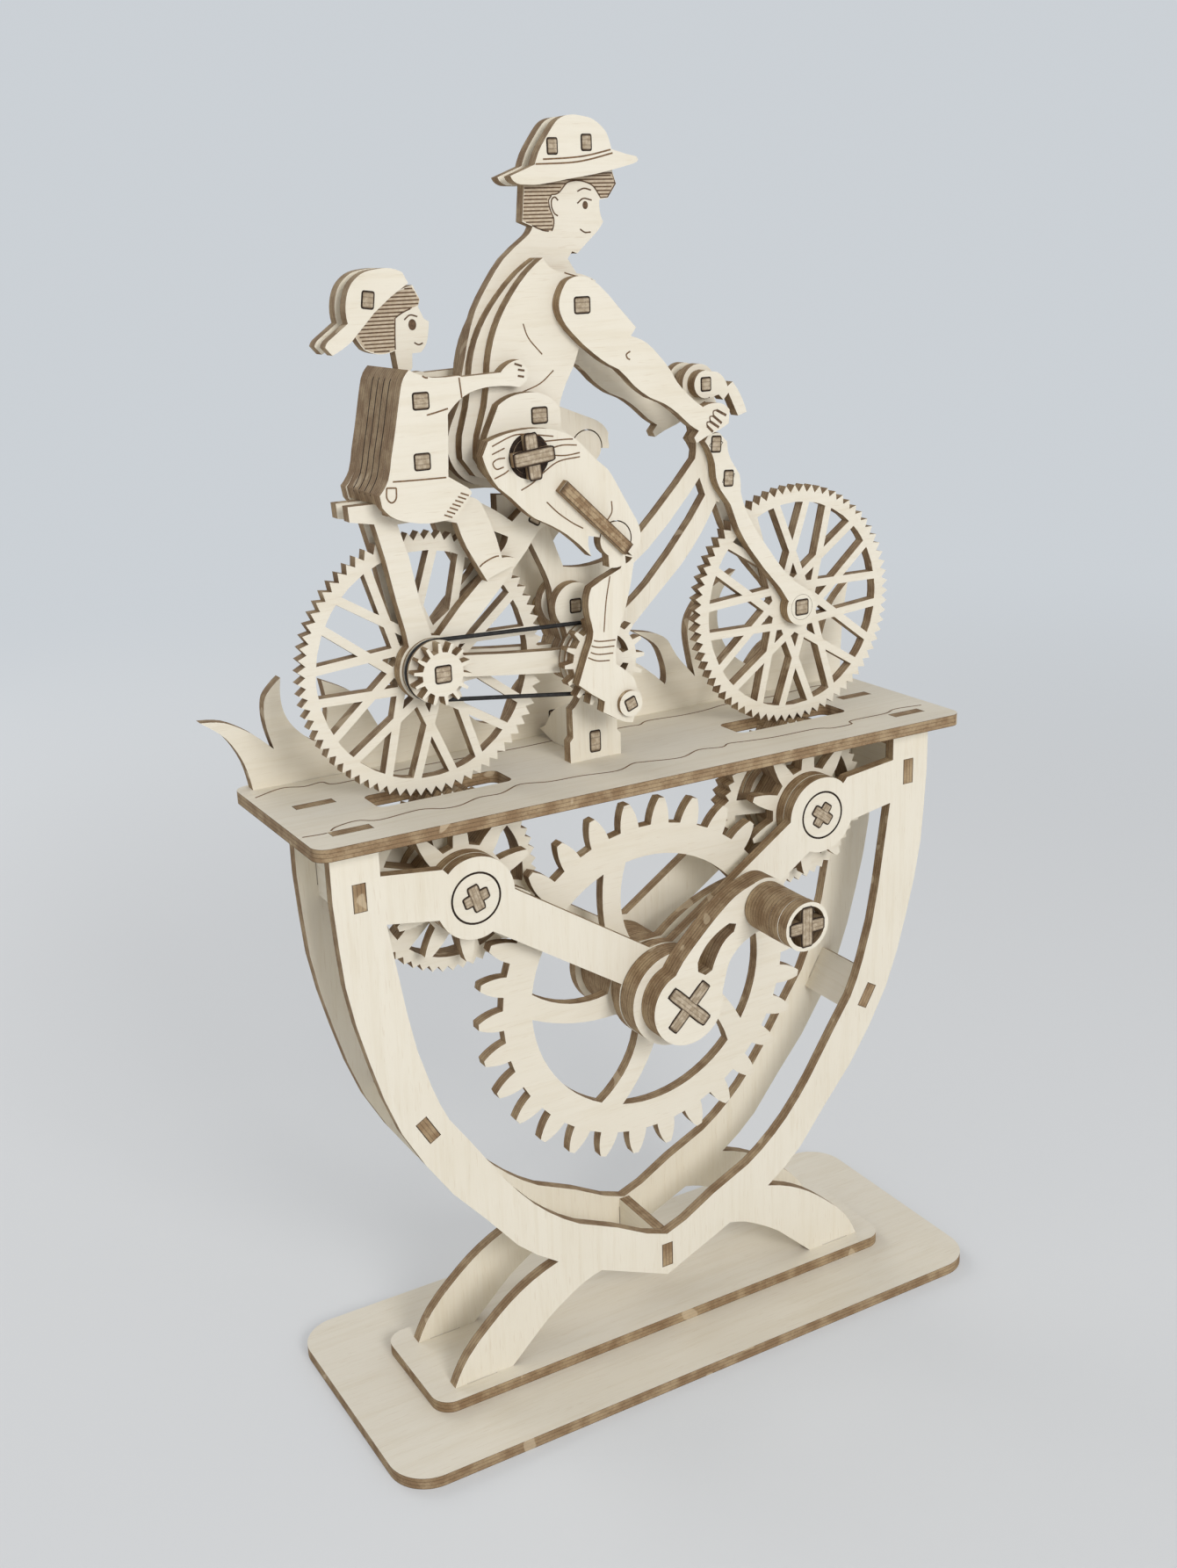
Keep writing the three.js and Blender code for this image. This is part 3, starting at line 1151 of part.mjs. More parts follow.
// Child on the rack
const childBodyShares = [
  [[-5.53, 25.13], [-5.66, 24.98], [-5.78, 24.6], [-5.94, 23.85], [-6.06, 23.35], [-6.16, 22.91]],
  [[-6.35, 22.6], [-6.3, 22.36]],
  [[-4.5, 22.36], [-4.3, 22.5]],
  [[-4.76, 22.85], [-4.71, 23.66], [-4.69, 24.16], [-4.8, 24.6], [-5, 24.94]],
];
const childHeadShares = [[-5.35, 25.1], [-5.4, 25.48], [-5.8, 25.43], [-6.1, 25.54], [-6.3, 25.85],
  [-6.4, 26.4], [-4.9, 26.8], [-4.75, 26.5], [-4.8, 26.35], [-4.68, 26.1], [-4.57, 26.04], [-4.59, 25.85],
  [-4.7, 25.51], [-4.8, 25.41], [-5, 25.4], [-5.02, 25.1], [-5.2, 24.9]];
const childShirtShares = [
  [[-5.53, 25.13], [-5.66, 24.98], [-5.78, 24.6], [-5.94, 23.85], [-6.06, 23.35], [-6.16, 22.91]],
  [[-6.38, 22.6], [-6.34, 22.35], [-6.13, 22.13], [-5.75, 21.98], [-5.25, 21.9], [-4.75, 21.93]],
  [[-4.59, 22.01], [-4.22, 22.44], [-4.31, 22.57], [-4.76, 22.85], [-4.71, 23.66], [-4.69, 24.16]],
  [[-4.28, 24.51], [-3.38, 24.66], [-2.94, 24.6], [-2.75, 24.73], [-2.72, 24.98], [-2.91, 25.18],
    [-3.13, 25.13], [-3.38, 24.94], [-4.31, 24.91]],
  [[-4.38, 24.94], [-5, 24.94]],
];
const childLegShares = [[-6.1, 22.33], [-4.2, 22.33], [-3.85, 22.14], [-3.54, 21.39], [-3.41, 20.89],
  [-3.29, 20.89], [-3.04, 20.83], [-3.1, 20.7], [-3.73, 20.48], [-3.8, 20.4], [-4.01, 20.76], [-4.26, 21.2],
  [-4.48, 21.79], [-4.9, 21.9], [-5.75, 21.98], [-6.1, 22.1]];
const capShares = [
  [[-6.99, 25.79], [-7.09, 25.65], [-6.94, 25.48]],
  [[-6.5, 25.73], [-5.94, 26.29], [-5.13, 26.85]],
  [[-5.13, 26.85], [-5.25, 27.07], [-5.5, 27.16], [-5.81, 27.16], [-6.19, 27.07], [-6.44, 26.85],
    [-6.56, 26.54], [-6.55, 26.1]],
];

function childCore() {
  const [front, back] = [stayFront - ply, farStayBack + ply];
  return joined([
    slab(runsOnSheet(childBodyShares), front, back),
    slab(childHeadShares.map(onSheet), ply, 2 * ply),
  ]);
}

const childSidePlane = (side) => layer(side, farStayBack + ply - middle, farStayBack + 2 * ply - middle);
const childShirt = (side) => slab(runsOnSheet(childShirtShares), ...childSidePlane(side));
const childLeg = (side) => slab(childLegShares.map(onSheet),
  ...layer(side, farStayBack - middle, farStayBack + ply - middle));
const capPlate = (side) => slab(runsOnSheet(capShares), ...layer(side, 0.5 * ply, 1.5 * ply));

// Assembly
function meshPhase(driverTeeth, driverPhase, followerTeeth, lineAngle) {
  const pitch = 360 / driverTeeth;
  const offset = ((driverPhase - lineAngle) % pitch + 1.5 * pitch) % pitch - pitch / 2;
  return lineAngle + 180 - offset * driverTeeth / followerTeeth + 180 / followerTeeth;
}

function buildStand() {
  root.add(piece('base_plate', basePlate()));
  root.add(piece('upper_base_plate', upperBasePlate()));
  root.add(piece('front_frame', framePlate(-frameBack)));
  root.add(piece('rear_frame', framePlate(frameFront)));
  for (const { name, at, angle } of spacerPlaces) {
    root.add(piece(name, spacer(at, angle)));
  }
  root.add(piece('table_plate', tablePlate()));
  root.add(piece('splash_wall', splashWall()));
  root.add(piece('post_plate', postPlate()));
  root.add(piece('brace_plate', bracePlate()));
}

function buildDrive() {
  const crank = groupAt(0, 0, hubHeight);
  crank.add(piece('drive_gear', driveGear()));
  crank.add(piece('crank_shaft', crankShaft()));
  crank.add(piece('crank_arm_inner', crankArm(collarFront - ply, collarFront)));
  crank.add(piece('crank_arm_outer', crankArm(collarFront - 2 * ply, collarFront - ply)));
  const grip = groupAt(gripPlace[0], 0, gripPlace[1]);
  grip.add(piece('grip_pin', gripPin()));
  grip.add(piece('crank_grip', crankGrip()));
  crank.add(grip);
  root.add(crank);
  for (const [side, name] of [[-1, 'left'], [1, 'right']]) {
    const line = THREE.MathUtils.radToDeg(Math.atan2(axleHeight - hubHeight, side * axleX));
    const pinionPhase = meshPhase(driveTeeth, 0, pinionTeeth, line);
    const axle = groupAt(side * axleX, 0, axleHeight, pinionPhase);
    axle.add(piece(`${name}_pinion`, pinion()));
    axle.add(piece(`${name}_fine_wheel`, fineWheel()));
    axle.add(piece(`${name}_axle`, crossAxle()));
    root.add(axle);
    const wheelLine = 90 - side * wheelLean;
    const wheelPhase = meshPhase(fineTeeth, pinionPhase, wheelTeeth, wheelLine);
    const wheel = groupAt(side * wheelBase / 2, 0, wheelHeight, wheelPhase);
    buildWheel(wheel, side, wheelPhase);
    root.add(wheel);
  }
}

function buildWheel(wheel, side, wheelPhase) {
  if (side < 0) {
    wheel.add(piece('rear_wheel', cut(bicycleWheel(spokeStart - wheelPhase), [wheelAxleHole()])));
    wheel.add(piece('rear_sprocket', rearAxle()));
  } else {
    wheel.add(piece('front_wheel', joined([bicycleWheel(spokeStart - wheelPhase), ...wheelAxleParts()])));
  }
}

function buildBicycle(bicycle) {
  bicycle.add(piece('front_stay_plate', stayPlate(stayFront)));
  bicycle.add(piece('rear_stay_plate', stayPlate(farStayFront)));
  bicycle.add(piece('frame_tubes', frameTubes()));
  bicycle.add(piece('front_fork_plate', forkPlate(stayFront)));
  bicycle.add(piece('rear_fork_plate', forkPlate(farStayFront)));
  bicycle.add(piece('handlebar', handlebar()));
  const bracket = onSheet(bottomBracketShare);
  const pedals = groupAt(bracket[0], 0, bracket[1]);
  pedals.add(piece('chainring', chainring()));
  bicycle.add(pedals);
}

function buildRider(bicycle) {
  bicycle.add(piece('rider_core', riderCore(), figureFinish));
  for (const [side, name] of [[-1, 'front'], [1, 'rear']]) {
    bicycle.add(piece(`torso_inner_${name}`, torsoPlate(side, 0.5 * ply, 0.3), figureFinish));
    bicycle.add(piece(`torso_outer_${name}`, torsoPlate(side, 1.5 * ply, 0), figureFinish));
    bicycle.add(piece(`waist_${name}`, waistPlate(side), figureFinish));
    bicycle.add(piece(`hat_${name}`, hatPlate(side), figureFinish));
    bicycle.add(piece(`${name}_arm`, riderArm(side), figureFinish));
  }
  bicycle.add(piece('hip_axle', hipAxle(), figureFinish));
  bicycle.add(leg(-1, 'front', 0, 0));
  bicycle.add(leg(1, 'rear', ...farLegTurns()));
}

function buildChild(bicycle) {
  bicycle.add(piece('child_core', childCore(), figureFinish));
  for (const [side, name] of [[-1, 'front'], [1, 'rear']]) {
    bicycle.add(piece(`child_${name}`, childShirt(side), figureFinish));
    bicycle.add(piece(`child_leg_${name}`, childLeg(side), figureFinish));
    bicycle.add(piece(`cap_${name}`, capPlate(side), figureFinish));
  }
}

buildStand();
buildDrive();
const bicycle = groupAt(0, 0, wheelHeight);
buildBicycle(bicycle);
buildRider(bicycle);
buildChild(bicycle);
root.add(bicycle);
root.add(piece('drive_band', driveBand(), rubberFinish));

export default root;
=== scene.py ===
import json
import math

import bmesh
import bpy
from mathutils import Matrix, Vector
from mathutils.bvhtree import BVHTree
from mathutils.geometry import tessellate_polygon

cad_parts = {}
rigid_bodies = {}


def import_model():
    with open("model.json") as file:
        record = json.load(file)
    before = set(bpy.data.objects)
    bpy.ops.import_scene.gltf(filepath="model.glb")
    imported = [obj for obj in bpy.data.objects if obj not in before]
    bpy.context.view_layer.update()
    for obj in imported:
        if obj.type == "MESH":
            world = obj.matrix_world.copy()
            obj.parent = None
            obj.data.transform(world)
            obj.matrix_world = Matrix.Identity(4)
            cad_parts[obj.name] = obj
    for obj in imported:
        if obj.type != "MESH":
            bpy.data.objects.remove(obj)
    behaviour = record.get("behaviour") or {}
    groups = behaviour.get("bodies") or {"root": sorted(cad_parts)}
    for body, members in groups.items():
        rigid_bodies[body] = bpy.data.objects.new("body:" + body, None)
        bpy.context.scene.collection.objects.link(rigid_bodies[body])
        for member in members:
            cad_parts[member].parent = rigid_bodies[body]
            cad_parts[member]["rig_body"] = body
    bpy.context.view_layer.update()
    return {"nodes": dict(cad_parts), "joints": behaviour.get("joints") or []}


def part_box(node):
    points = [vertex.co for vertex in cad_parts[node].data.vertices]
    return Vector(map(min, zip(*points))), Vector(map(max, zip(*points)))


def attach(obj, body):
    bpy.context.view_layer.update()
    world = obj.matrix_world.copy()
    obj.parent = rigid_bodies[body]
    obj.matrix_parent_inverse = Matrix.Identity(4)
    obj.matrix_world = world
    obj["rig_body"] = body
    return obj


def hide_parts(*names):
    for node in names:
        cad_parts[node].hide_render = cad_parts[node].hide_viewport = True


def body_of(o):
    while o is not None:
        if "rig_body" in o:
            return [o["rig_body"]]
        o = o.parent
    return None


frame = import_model()
nodes = frame["nodes"]
mm = 0.001
ply = 3.0  # sheet thickness in millimetres
axes = {"x": (1.0, 0.0, 0.0), "y": (0.0, 1.0, 0.0), "z": (0.0, 0.0, 1.0)}
away = {"front": -1, "back": 1}  # along y, out from the middle
sideWords = {"front": "front", "back": "rear"}  # as node and body names have them

# Each joint's place as (x, z) in millimetres, because every joint turns about a line along y
pivots = {joint["name"]: (joint["pos_m"][0] / mm, joint["pos_m"][2] / mm) for joint in frame["joints"]}
hip = pivots["front_hip"]
knees = {"front": pivots["front_knee"], "back": pivots["rear_knee"]}


def faceOf(node, side):  # where a node's outermost face lies, in millimetres
    low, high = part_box(node)
    return {"front": low.y, "back": high.y, "top": high.z}[side] / mm


middle = (faceOf("rider_core", "front") + faceOf("rider_core", "back")) / 2


def planeOf(side, out):  # a face that lies this far out from the middle of bicycle and figures
    return middle + away[side] * out


print("frame loaded:", len(nodes), "nodes")


# A wire is one output socket of a node tree, and expressions on wires add Math nodes
class Wire:
    def __init__(self, graph, socket):
        self.graph = graph
        self.socket = socket

    def out(self, name):
        return Wire(self.graph, self.socket.node.outputs[name])

    def maths(self, operation, *values):
        return self.graph.node("ShaderNodeMath", {"operation": operation}, values)

    def __add__(self, other):
        return self.maths("ADD", self, other)

    def __sub__(self, other):
        return self.maths("SUBTRACT", self, other)

    def __rsub__(self, other):
        return self.maths("SUBTRACT", other, self)

    def __mul__(self, other):
        return self.maths("MULTIPLY", self, other)

    def __abs__(self):
        return self.maths("ABSOLUTE", self)

    __radd__ = __add__
    __rmul__ = __mul__

    def larger(self, other):
        return self.maths("MAXIMUM", self, other)

    def fraction(self):
        return self.maths("FRACT", self)

    def span(self, low, high):  # a soft step from 0 at low to 1 at high
        sockets = {"Value": self, "From Min": low, "From Max": high}
        return self.graph.node("ShaderNodeMapRange", {"interpolation_type": "SMOOTHSTEP"}, sockets)


# Shader and geometry trees make their nodes in one way: settings first, then values or wires by socket
class Graph:
    def __init__(self, tree):
        self.tree = tree

    def node(self, kind, settings=None, sockets=(), out=0):
        made = self.tree.nodes.new(kind)
        for key, value in (settings or {}).items():
            setattr(made, key, value)
        for key, value in sockets.items() if isinstance(sockets, dict) else enumerate(sockets):
            if isinstance(value, Wire):
                self.tree.links.new(value.socket, made.inputs[key])
            else:
                made.inputs[key].default_value = value
        return Wire(self, made.outputs[out]) if made.outputs else None

    def vector(self, operation, *values, out=0):
        return self.node("ShaderNodeVectorMath", {"operation": operation}, values, out)


class Recipe(Graph):
    def __init__(self, owner):
        owner.use_nodes = True
        super().__init__(owner.node_tree)
        self.owner = owner
        self.tree.nodes.clear()

    def place(self):  # where a point lies on the object, in millimetres
        return self.vector("MULTIPLY", self.node("ShaderNodeTexCoord").out("Object"), [1 / mm] * 3)

    def facing(self, direction):
        normal = self.node("ShaderNodeTexCoord").out("Normal")
        return self.vector("DOT_PRODUCT", normal, direction, out="Value")

    def mix(self, factor, first, second):
        return self.node("ShaderNodeMix", {"data_type": "RGBA"}, {0: factor, 6: first, 7: second}, 2)

    def noise(self, place, scale, detail=3.0, roughness=0.55, distortion=0.0):
        return self.node("ShaderNodeTexNoise", {}, {
            "Vector": place, "Scale": scale, "Detail": detail,
            "Roughness": roughness, "Distortion": distortion})

    def seen(self):  # 1 where the camera, a mirror or a glass looks at it, and 0 for the light it sends
        rays = self.node("ShaderNodeLightPath")
        straight = rays.out("Is Camera Ray").larger(rays.out("Is Glossy Ray"))
        return straight.larger(rays.out("Is Transmission Ray"))

    def surface(self, colour, roughness, height=None, strength=0.0):
        sockets = {"Base Color": colour, "Roughness": roughness, "Specular IOR Level": 0.3}
        if height is not None:
            bump = {"Strength": strength, "Distance": 0.2 * mm, "Height": height}
            sockets["Normal"] = self.node("ShaderNodeBump", {}, bump)
        return self.node("ShaderNodeBsdfPrincipled", {}, sockets)

    def close(self, shader, kind="ShaderNodeOutputMaterial"):
        self.node(kind, {}, {"Surface": shader})
        return self.owner


# Laser-cut plywood: pale faces with fine grain, burnt edges with the three veneers showing
plyLook = {
    "pale": (0.80, 0.745, 0.625, 1),
    "warm": (0.71, 0.635, 0.49, 1),
    "pore": (0.55, 0.43, 0.28, 1),
    "edge": (0.265, 0.170, 0.090, 1),
    "edgeLight": (0.43, 0.315, 0.185, 1),
    "char": (0.060, 0.031, 0.014, 1),
    "fleck": (0.66, 0.54, 0.37, 1),
    "tenon": (0.37, 0.29, 0.195, 1),
    "tenonLight": (0.53, 0.44, 0.32, 1),
    "grainAlong": 0.035,  # grain noise per millimetre
    "grainAcross": 0.55,
    "veneers": 3,
    "bandShare": 0.42,  # how far each mark changes the colour
    "cloudShare": 0.3,
    "poreShare": 0.22,
    "fineShare": 0.12,
    "streakShare": 0.35,
    "glueShare": 0.45,
    "rimShare": 0.75,
    "fleckShare": 0.5,
    "edgeRoughness": 0.84,
    "faceSmoother": 0.16,
}
plyMade = {}


def plyFace(recipe, look, place, grain):
    stretch = [look["grainAcross"]] * 3
    stretch["xyz".index(grain)] = look["grainAlong"]
    grainPlace = recipe.vector("MULTIPLY", place, stretch)
    bands = recipe.noise(grainPlace, 1.0, 4.0, 0.6, 0.6)
    fine = recipe.noise(grainPlace, 5.0, 3.0, 0.7)
    clouds = recipe.noise(place, 0.035, 2.0)
    pores = recipe.noise(recipe.vector("MULTIPLY", grainPlace, [4.0] * 3), 1.3, 1.0).span(0.66, 0.74)
    warmth = bands.span(0.42, 0.75) * look["bandShare"] + clouds.span(0.35, 0.8) * look["cloudShare"]
    colour = recipe.mix(warmth, look["pale"], look["warm"])
    marks = pores * look["poreShare"] + fine.span(0.5, 0.8) * look["fineShare"]
    return recipe.mix(marks, colour, look["pore"]), bands, bands * 0.35 + fine * 0.25


def plyEdge(recipe, look, place, share):  # share runs from 0 to 1 through one sheet
    glue = 1 - abs((share * look["veneers"] + 0.5).fraction() - 0.5).span(0.04, 0.16)
    rim = abs(share - 0.5).span(0.43, 0.495)
    streaks = recipe.noise(place, 2.6, 2.0, 0.6)
    patches = recipe.noise(place, 0.22, 3.0, 0.6)
    flecks = recipe.noise(place, 0.16, 1.0, 0.5, 0.4).span(0.69, 0.72)
    colour = recipe.mix(patches.span(0.35, 0.7), look["edge"], look["edgeLight"])
    colour = recipe.mix(streaks.span(0.5, 0.75) * look["streakShare"], colour, look["char"])
    colour = recipe.mix((glue * look["glueShare"]).larger(rim * look["rimShare"]), colour, look["char"])
    return recipe.mix(flecks * look["fleckShare"], colour, look["fleck"]), streaks * 0.8 - glue * 0.5


# One material for each way that a sheet lies: its normal, the level where it starts and its grain's axis
def plyMaterial(normal, start, grain, sheet=ply):
    key = (tuple(round(value, 3) for value in normal), round(start % sheet, 1) % sheet, grain, sheet)
    if key not in plyMade:
        look = plyLook
        recipe = Recipe(bpy.data.materials.new("plywood_%02d" % len(plyMade)))
        place = recipe.place()
        depth = recipe.vector("DOT_PRODUCT", place, normal, out="Value")
        isFace = abs(recipe.facing(normal)).span(0.6, 0.8)
        face, bands, faceHeight = plyFace(recipe, look, place, grain)
        edge, edgeHeight = plyEdge(recipe, look, place, ((depth - start) * (1 / sheet)).fraction())
        roughness = look["edgeRoughness"] - isFace * (look["faceSmoother"] - 0.1 * bands)
        height = isFace * faceHeight + (1 - isFace) * edgeHeight
        shader = recipe.surface(recipe.mix(isFace, edge, face), roughness, height, 0.22)
        plyMade[key] = recipe.close(shader)
    return plyMade[key]


def plain(name, light, dark, scale, roughness):
    recipe = Recipe(bpy.data.materials.new(name))
    cloud = recipe.noise(recipe.place(), scale, 4.0, 0.6)
    colour = recipe.mix(cloud.span(0.35, 0.7), dark, light)
    return recipe.close(recipe.surface(colour, roughness - 0.1 * cloud, cloud, 0.15))


engraved = plain("engraved_line", (0.25, 0.150, 0.075, 1), (0.14, 0.080, 0.040, 1), 1.4, 0.86)
toasted = plain("toasted_patch", (0.60, 0.50, 0.37, 1), (0.50, 0.40, 0.28, 1), 1.1, 0.84)
hatched = plain("hatch_line", (0.17, 0.105, 0.06, 1), (0.10, 0.06, 0.035, 1), 1.4, 0.88)
# Dark gaps, tenon slots and seams: in the gaps and slots this is painted shade with the char of their
# laser-cut walls; on the seams it is the dark joint between sheets
char_and_painted_shade = plain("painted_shade_and_char", (0.040, 0.022, 0.012, 1), (0.014, 0.008, 0.005, 1), 1.1, 0.9)
rubber = plain("black_rubber", (0.030, 0.029, 0.028, 1), (0.014, 0.013, 0.013, 1), 0.9, 0.62)


# Tenon ends show the sheet's end grain: veneer lines along the tenon and a burnt outline
def tenonMaterial(name, dark, light):
    look = plyLook
    recipe = Recipe(bpy.data.materials.new(name))
    tile = recipe.node("ShaderNodeAttribute", {"attribute_name": "tile"}, (), "Vector")
    parts = recipe.node("ShaderNodeSeparateXYZ", {}, [tile])
    along, across = abs(parts.out("X")), abs(parts.out("Y"))
    place = recipe.place()
    patches = recipe.noise(place, 0.8, 3.0, 0.6)
    streaks = recipe.noise(place, 3.5, 2.0)
    glue = 1 - abs(across - 0.18).span(0.015, 0.06)
    rim = across.span(0.38, 0.47).larger(along.span(0.44, 0.495))
    colour = recipe.mix(patches.span(0.4, 0.65), dark, light)
    colour = recipe.mix(streaks.span(0.5, 0.8) * 0.3 + glue * 0.35, colour, look["char"])
    colour = recipe.mix(rim * 0.8, colour, look["char"])
    roughness = look["edgeRoughness"] - 0.1 * patches
    return recipe.close(recipe.surface(colour, roughness, streaks - glue * 0.6, 0.2))


tenonEnd = tenonMaterial("tenon_end_grain", plyLook["tenon"], plyLook["tenonLight"])
barEnd = tenonMaterial("bar_end_grain", plyLook["edge"], plyLook["edgeLight"])
print("materials made")

# Which way each plate faces and which way its grain runs; all others face y with their grain along x
lying = dict.fromkeys(("base_plate", "upper_base_plate", "table_plate"), ("z", "x"))
lying["brace_plate"] = ("x", "z")
lying.update(dict.fromkeys(("front_frame", "rear_frame", "post_plate", "frame_tubes"), ("y", "z")))
lying.update(dict.fromkeys(("front_thigh", "front_shin", "rear_thigh", "rear_shin"), ("y", "z")))
spacerTurns = {  # degrees that each spacer is turned from lying flat
    "spacer_top_left": 90,
    "spacer_top_right": 90,
    "spacer_mid_left": -60,
    "spacer_mid_right": 60,
    "spacer_bottom": 90,
}


def lieOf(name):  # a plate's normal, the level of its first sheet in millimetres, and its grain
    low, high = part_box(name)
    if name in spacerTurns:
        turn = math.radians(spacerTurns[name])
        normal = (-math.sin(turn), 0.0, math.cos(turn))
        return normal, ((low + high) / 2).dot(Vector(normal)) / mm - ply / 2, "y"
    axis, grain = lying.get(name, ("y", "x"))
    return axes[axis], low["xyz".index(axis)] / mm, grain


for name, node in nodes.items():
    node.data.materials.clear()
    node.data.materials.append(rubber if name == "drive_band" else plyMaterial(*lieOf(name)))
print("plates finished:", len(plyMade), "kinds of plywood")


def newObject(name, data):
    made = bpy.data.objects.new(name, data)
    bpy.context.scene.collection.objects.link(made)
    return made


def addMesh(name, points, faces, material, body, smooth=False):
    mesh = bpy.data.meshes.new(name)
    mesh.from_pydata(points, [], faces)
    mesh.materials.append(material)
    mesh.polygons.foreach_set("use_smooth", [smooth] * len(mesh.polygons))
    mesh.update()
    made = newObject(name, mesh)
    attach(made, body)
    return made


def outwards(made):  # turns the faces outwards, and says whether the mesh is closed
    work = bmesh.new()
    work.from_mesh(made.data)
    bmesh.ops.recalc_face_normals(work, faces=work.faces)
    closed = all(edge.is_manifold for edge in work.edges)
    work.to_mesh(made.data)
    work.free()
    return closed


# Faces between rings of points in a row: both ends are closed, or the last ring joins the first
def tubeFaces(start, rings, corners, endless):
    faces = []
    for ring in range(rings if endless else rings - 1):
        here = start + corners * ring
        there = start + corners * ((ring + 1) % rings)
        for corner in range(corners):
            after = (corner + 1) % corners
            faces.append((here + corner, there + corner, there + after, here + after))
    if not endless:
        faces.append(tuple(range(start, start + corners)))
        faces.append(tuple(reversed(range(start + corners * (rings - 1), start + corners * rings))))
    return faces


def compass(count):  # unit vectors all round
    turns = [2 * math.pi * step / count for step in range(count)]
    return [Vector((math.cos(turn), math.sin(turn))) for turn in turns]


# The solids have many-sided outlines: each sheet is cut again along smooth curves through the same corners
cutting = {
    "sharpest": 34.0,  # a turn of more degrees than this stays a corner
    "straight": 0.4,  # a turn of fewer degrees than this is no corner at all
    "uneven": 2.6,  # a side this many times longer than its neighbour stays straight
    "turn": 7.0,  # degrees that a curve turns at each new point
    "points": 6,  # most points between two corners
    "thinnest": 0.05,  # thinner layers than this are left out
}


def chained(edges):
    beside = {}
    for edge in edges:
        for vertex in edge.verts:
            beside.setdefault(vertex, []).append(edge.other_vert(vertex))
    if any(len(others) != 2 for others in beside.values()):
        return None
    loops = []
    while beside:
        start = next(iter(beside))
        loop, here, onward = [start], start, beside[start][0]
        while onward is not start:
            loop.append(onward)
            here, onward = onward, next(other for other in beside[onward] if other is not here)
        for vertex in loop:
            del beside[vertex]
        loops.append(loop)
    return loops


def trimmed(loop):
    least = math.radians(cutting["straight"])
    return [point for index, point in enumerate(loop)
            if (point - loop[index - 1]).angle(loop[(index + 1) % len(loop)] - point, 0.0) > least]


# Outlines halfway through a layer, on the plane of side and other; None where they aren't plain loops
def outlinesAt(work, normal, depth, side, other):
    cut = work.copy()
    parts = cut.verts[:] + cut.edges[:] + cut.faces[:]
    made = bmesh.ops.bisect_plane(cut, geom=parts, plane_co=normal * (depth * mm), plane_no=normal)
    loops = chained([part for part in made["geom_cut"] if isinstance(part, bmesh.types.BMEdge)])
    if loops is not None:
        flat = [[Vector((vertex.co.dot(side), vertex.co.dot(other))) for vertex in loop] for loop in loops]
        loops = [trimmed(loop) for loop in flat]
    cut.free()
    return loops


# One entry for each layer of a node's sheets, with its two depths and its outlines; none if it isn't flat
def layersOf(mesh, normal, side, other):
    work = bmesh.new()
    work.from_mesh(mesh)
    bmesh.ops.remove_doubles(work, verts=work.verts, dist=0.001 * mm)
    layers = []
    depths = sorted({round(vertex.co.dot(normal) / mm, 2) for vertex in work.verts})
    whole = not any(0.02 < abs(face.normal.dot(normal)) < 0.99 for face in work.faces)
    for low, high in zip(depths, depths[1:]):
        if high - low < cutting["thinnest"] or not whole:
            continue
        flat = outlinesAt(work, normal, (low + high) / 2, side, other)
        if flat is None:
            whole = False
            continue
        corners = {(round(point.x, 5), round(point.y, 5)) for loop in flat for point in loop}
        if layers and layers[-1]["high"] == low and layers[-1]["corners"] == corners:
            layers[-1]["high"] = high
        elif flat:
            layers.append({"low": low, "high": high, "loops": flat, "corners": corners})
    work.free()
    return layers if whole else []


def tangentAt(before, here, after):
    coming, going = here - before, after - here
    if coming.angle(going, 0.0) > math.radians(cutting["sharpest"]):
        return None
    if coming.length > cutting["uneven"] * going.length:
        return coming.normalized()
    if going.length > cutting["uneven"] * coming.length:
        return going.normalized()
    return (coming.normalized() * going.length + going.normalized() * coming.length).normalized()


def mirrored(tangent, chord):
    return chord * (2 * tangent.dot(chord)) - tangent


def curvedLoop(loop):
    count = len(loop)
    tangents = [tangentAt(loop[i - 1], loop[i], loop[(i + 1) % count]) for i in range(count)]
    curved = []
    for i, point in enumerate(loop):
        onward = loop[(i + 1) % count]
        first, last = tangents[i], tangents[(i + 1) % count]
        curved.append(point)
        if not first and not last:
            continue
        chord = (onward - point).normalized()
        length = (onward - point).length
        first = first or mirrored(last, chord)
        last = last or mirrored(first, chord)
        steps = min(cutting["points"], math.ceil(math.degrees(first.angle(last, 0.0)) / cutting["turn"]))
        for step in range(1, steps):
            t = step / steps
            curved.append(point * (2 * t**3 - 3 * t**2 + 1) + onward * (3 * t**2 - 2 * t**3)
                          + first * (length * (t**3 - 2 * t**2 + t)) + last * (length * (t**3 - t**2)))
    return curved


def cutSheets(name):  # says whether the node could be cut again
    node = nodes[name]
    normal = Vector(lieOf(name)[0])
    side = Vector(axes["x"]) if abs(normal.x) < 0.5 else Vector(axes["y"])
    side = (side - normal * side.dot(normal)).normalized()
    other = normal.cross(side)
    points, faces = [], []
    for layer in layersOf(node.data, normal, side, other):
        loops = [curvedLoop(loop) for loop in layer["loops"]]
        triangles = tessellate_polygon([[point.to_3d() for point in loop] for loop in loops])
        begin = len(points)
        total = sum(len(loop) for loop in loops)
        for depth in (layer["low"] * mm, layer["high"] * mm):
            points += [side * spot.x + other * spot.y + normal * depth for loop in loops for spot in loop]
        faces += [tuple(begin + index for index in triangle) for triangle in triangles]
        faces += [tuple(begin + total + index for index in reversed(triangle)) for triangle in triangles]
        for loop in loops:
            for i in range(len(loop)):
                here, onward = begin + i, begin + (i + 1) % len(loop)
                faces.append((here, total + here, total + onward, onward))
            begin += len(loop)
    if not faces:
        return False
    made = addMesh(name + "_cut", points, faces, node.data.materials[0], body_of(node)[0])
    if not outwards(made):
        bpy.data.objects.remove(made)
        return False
    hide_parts(name)
    return True


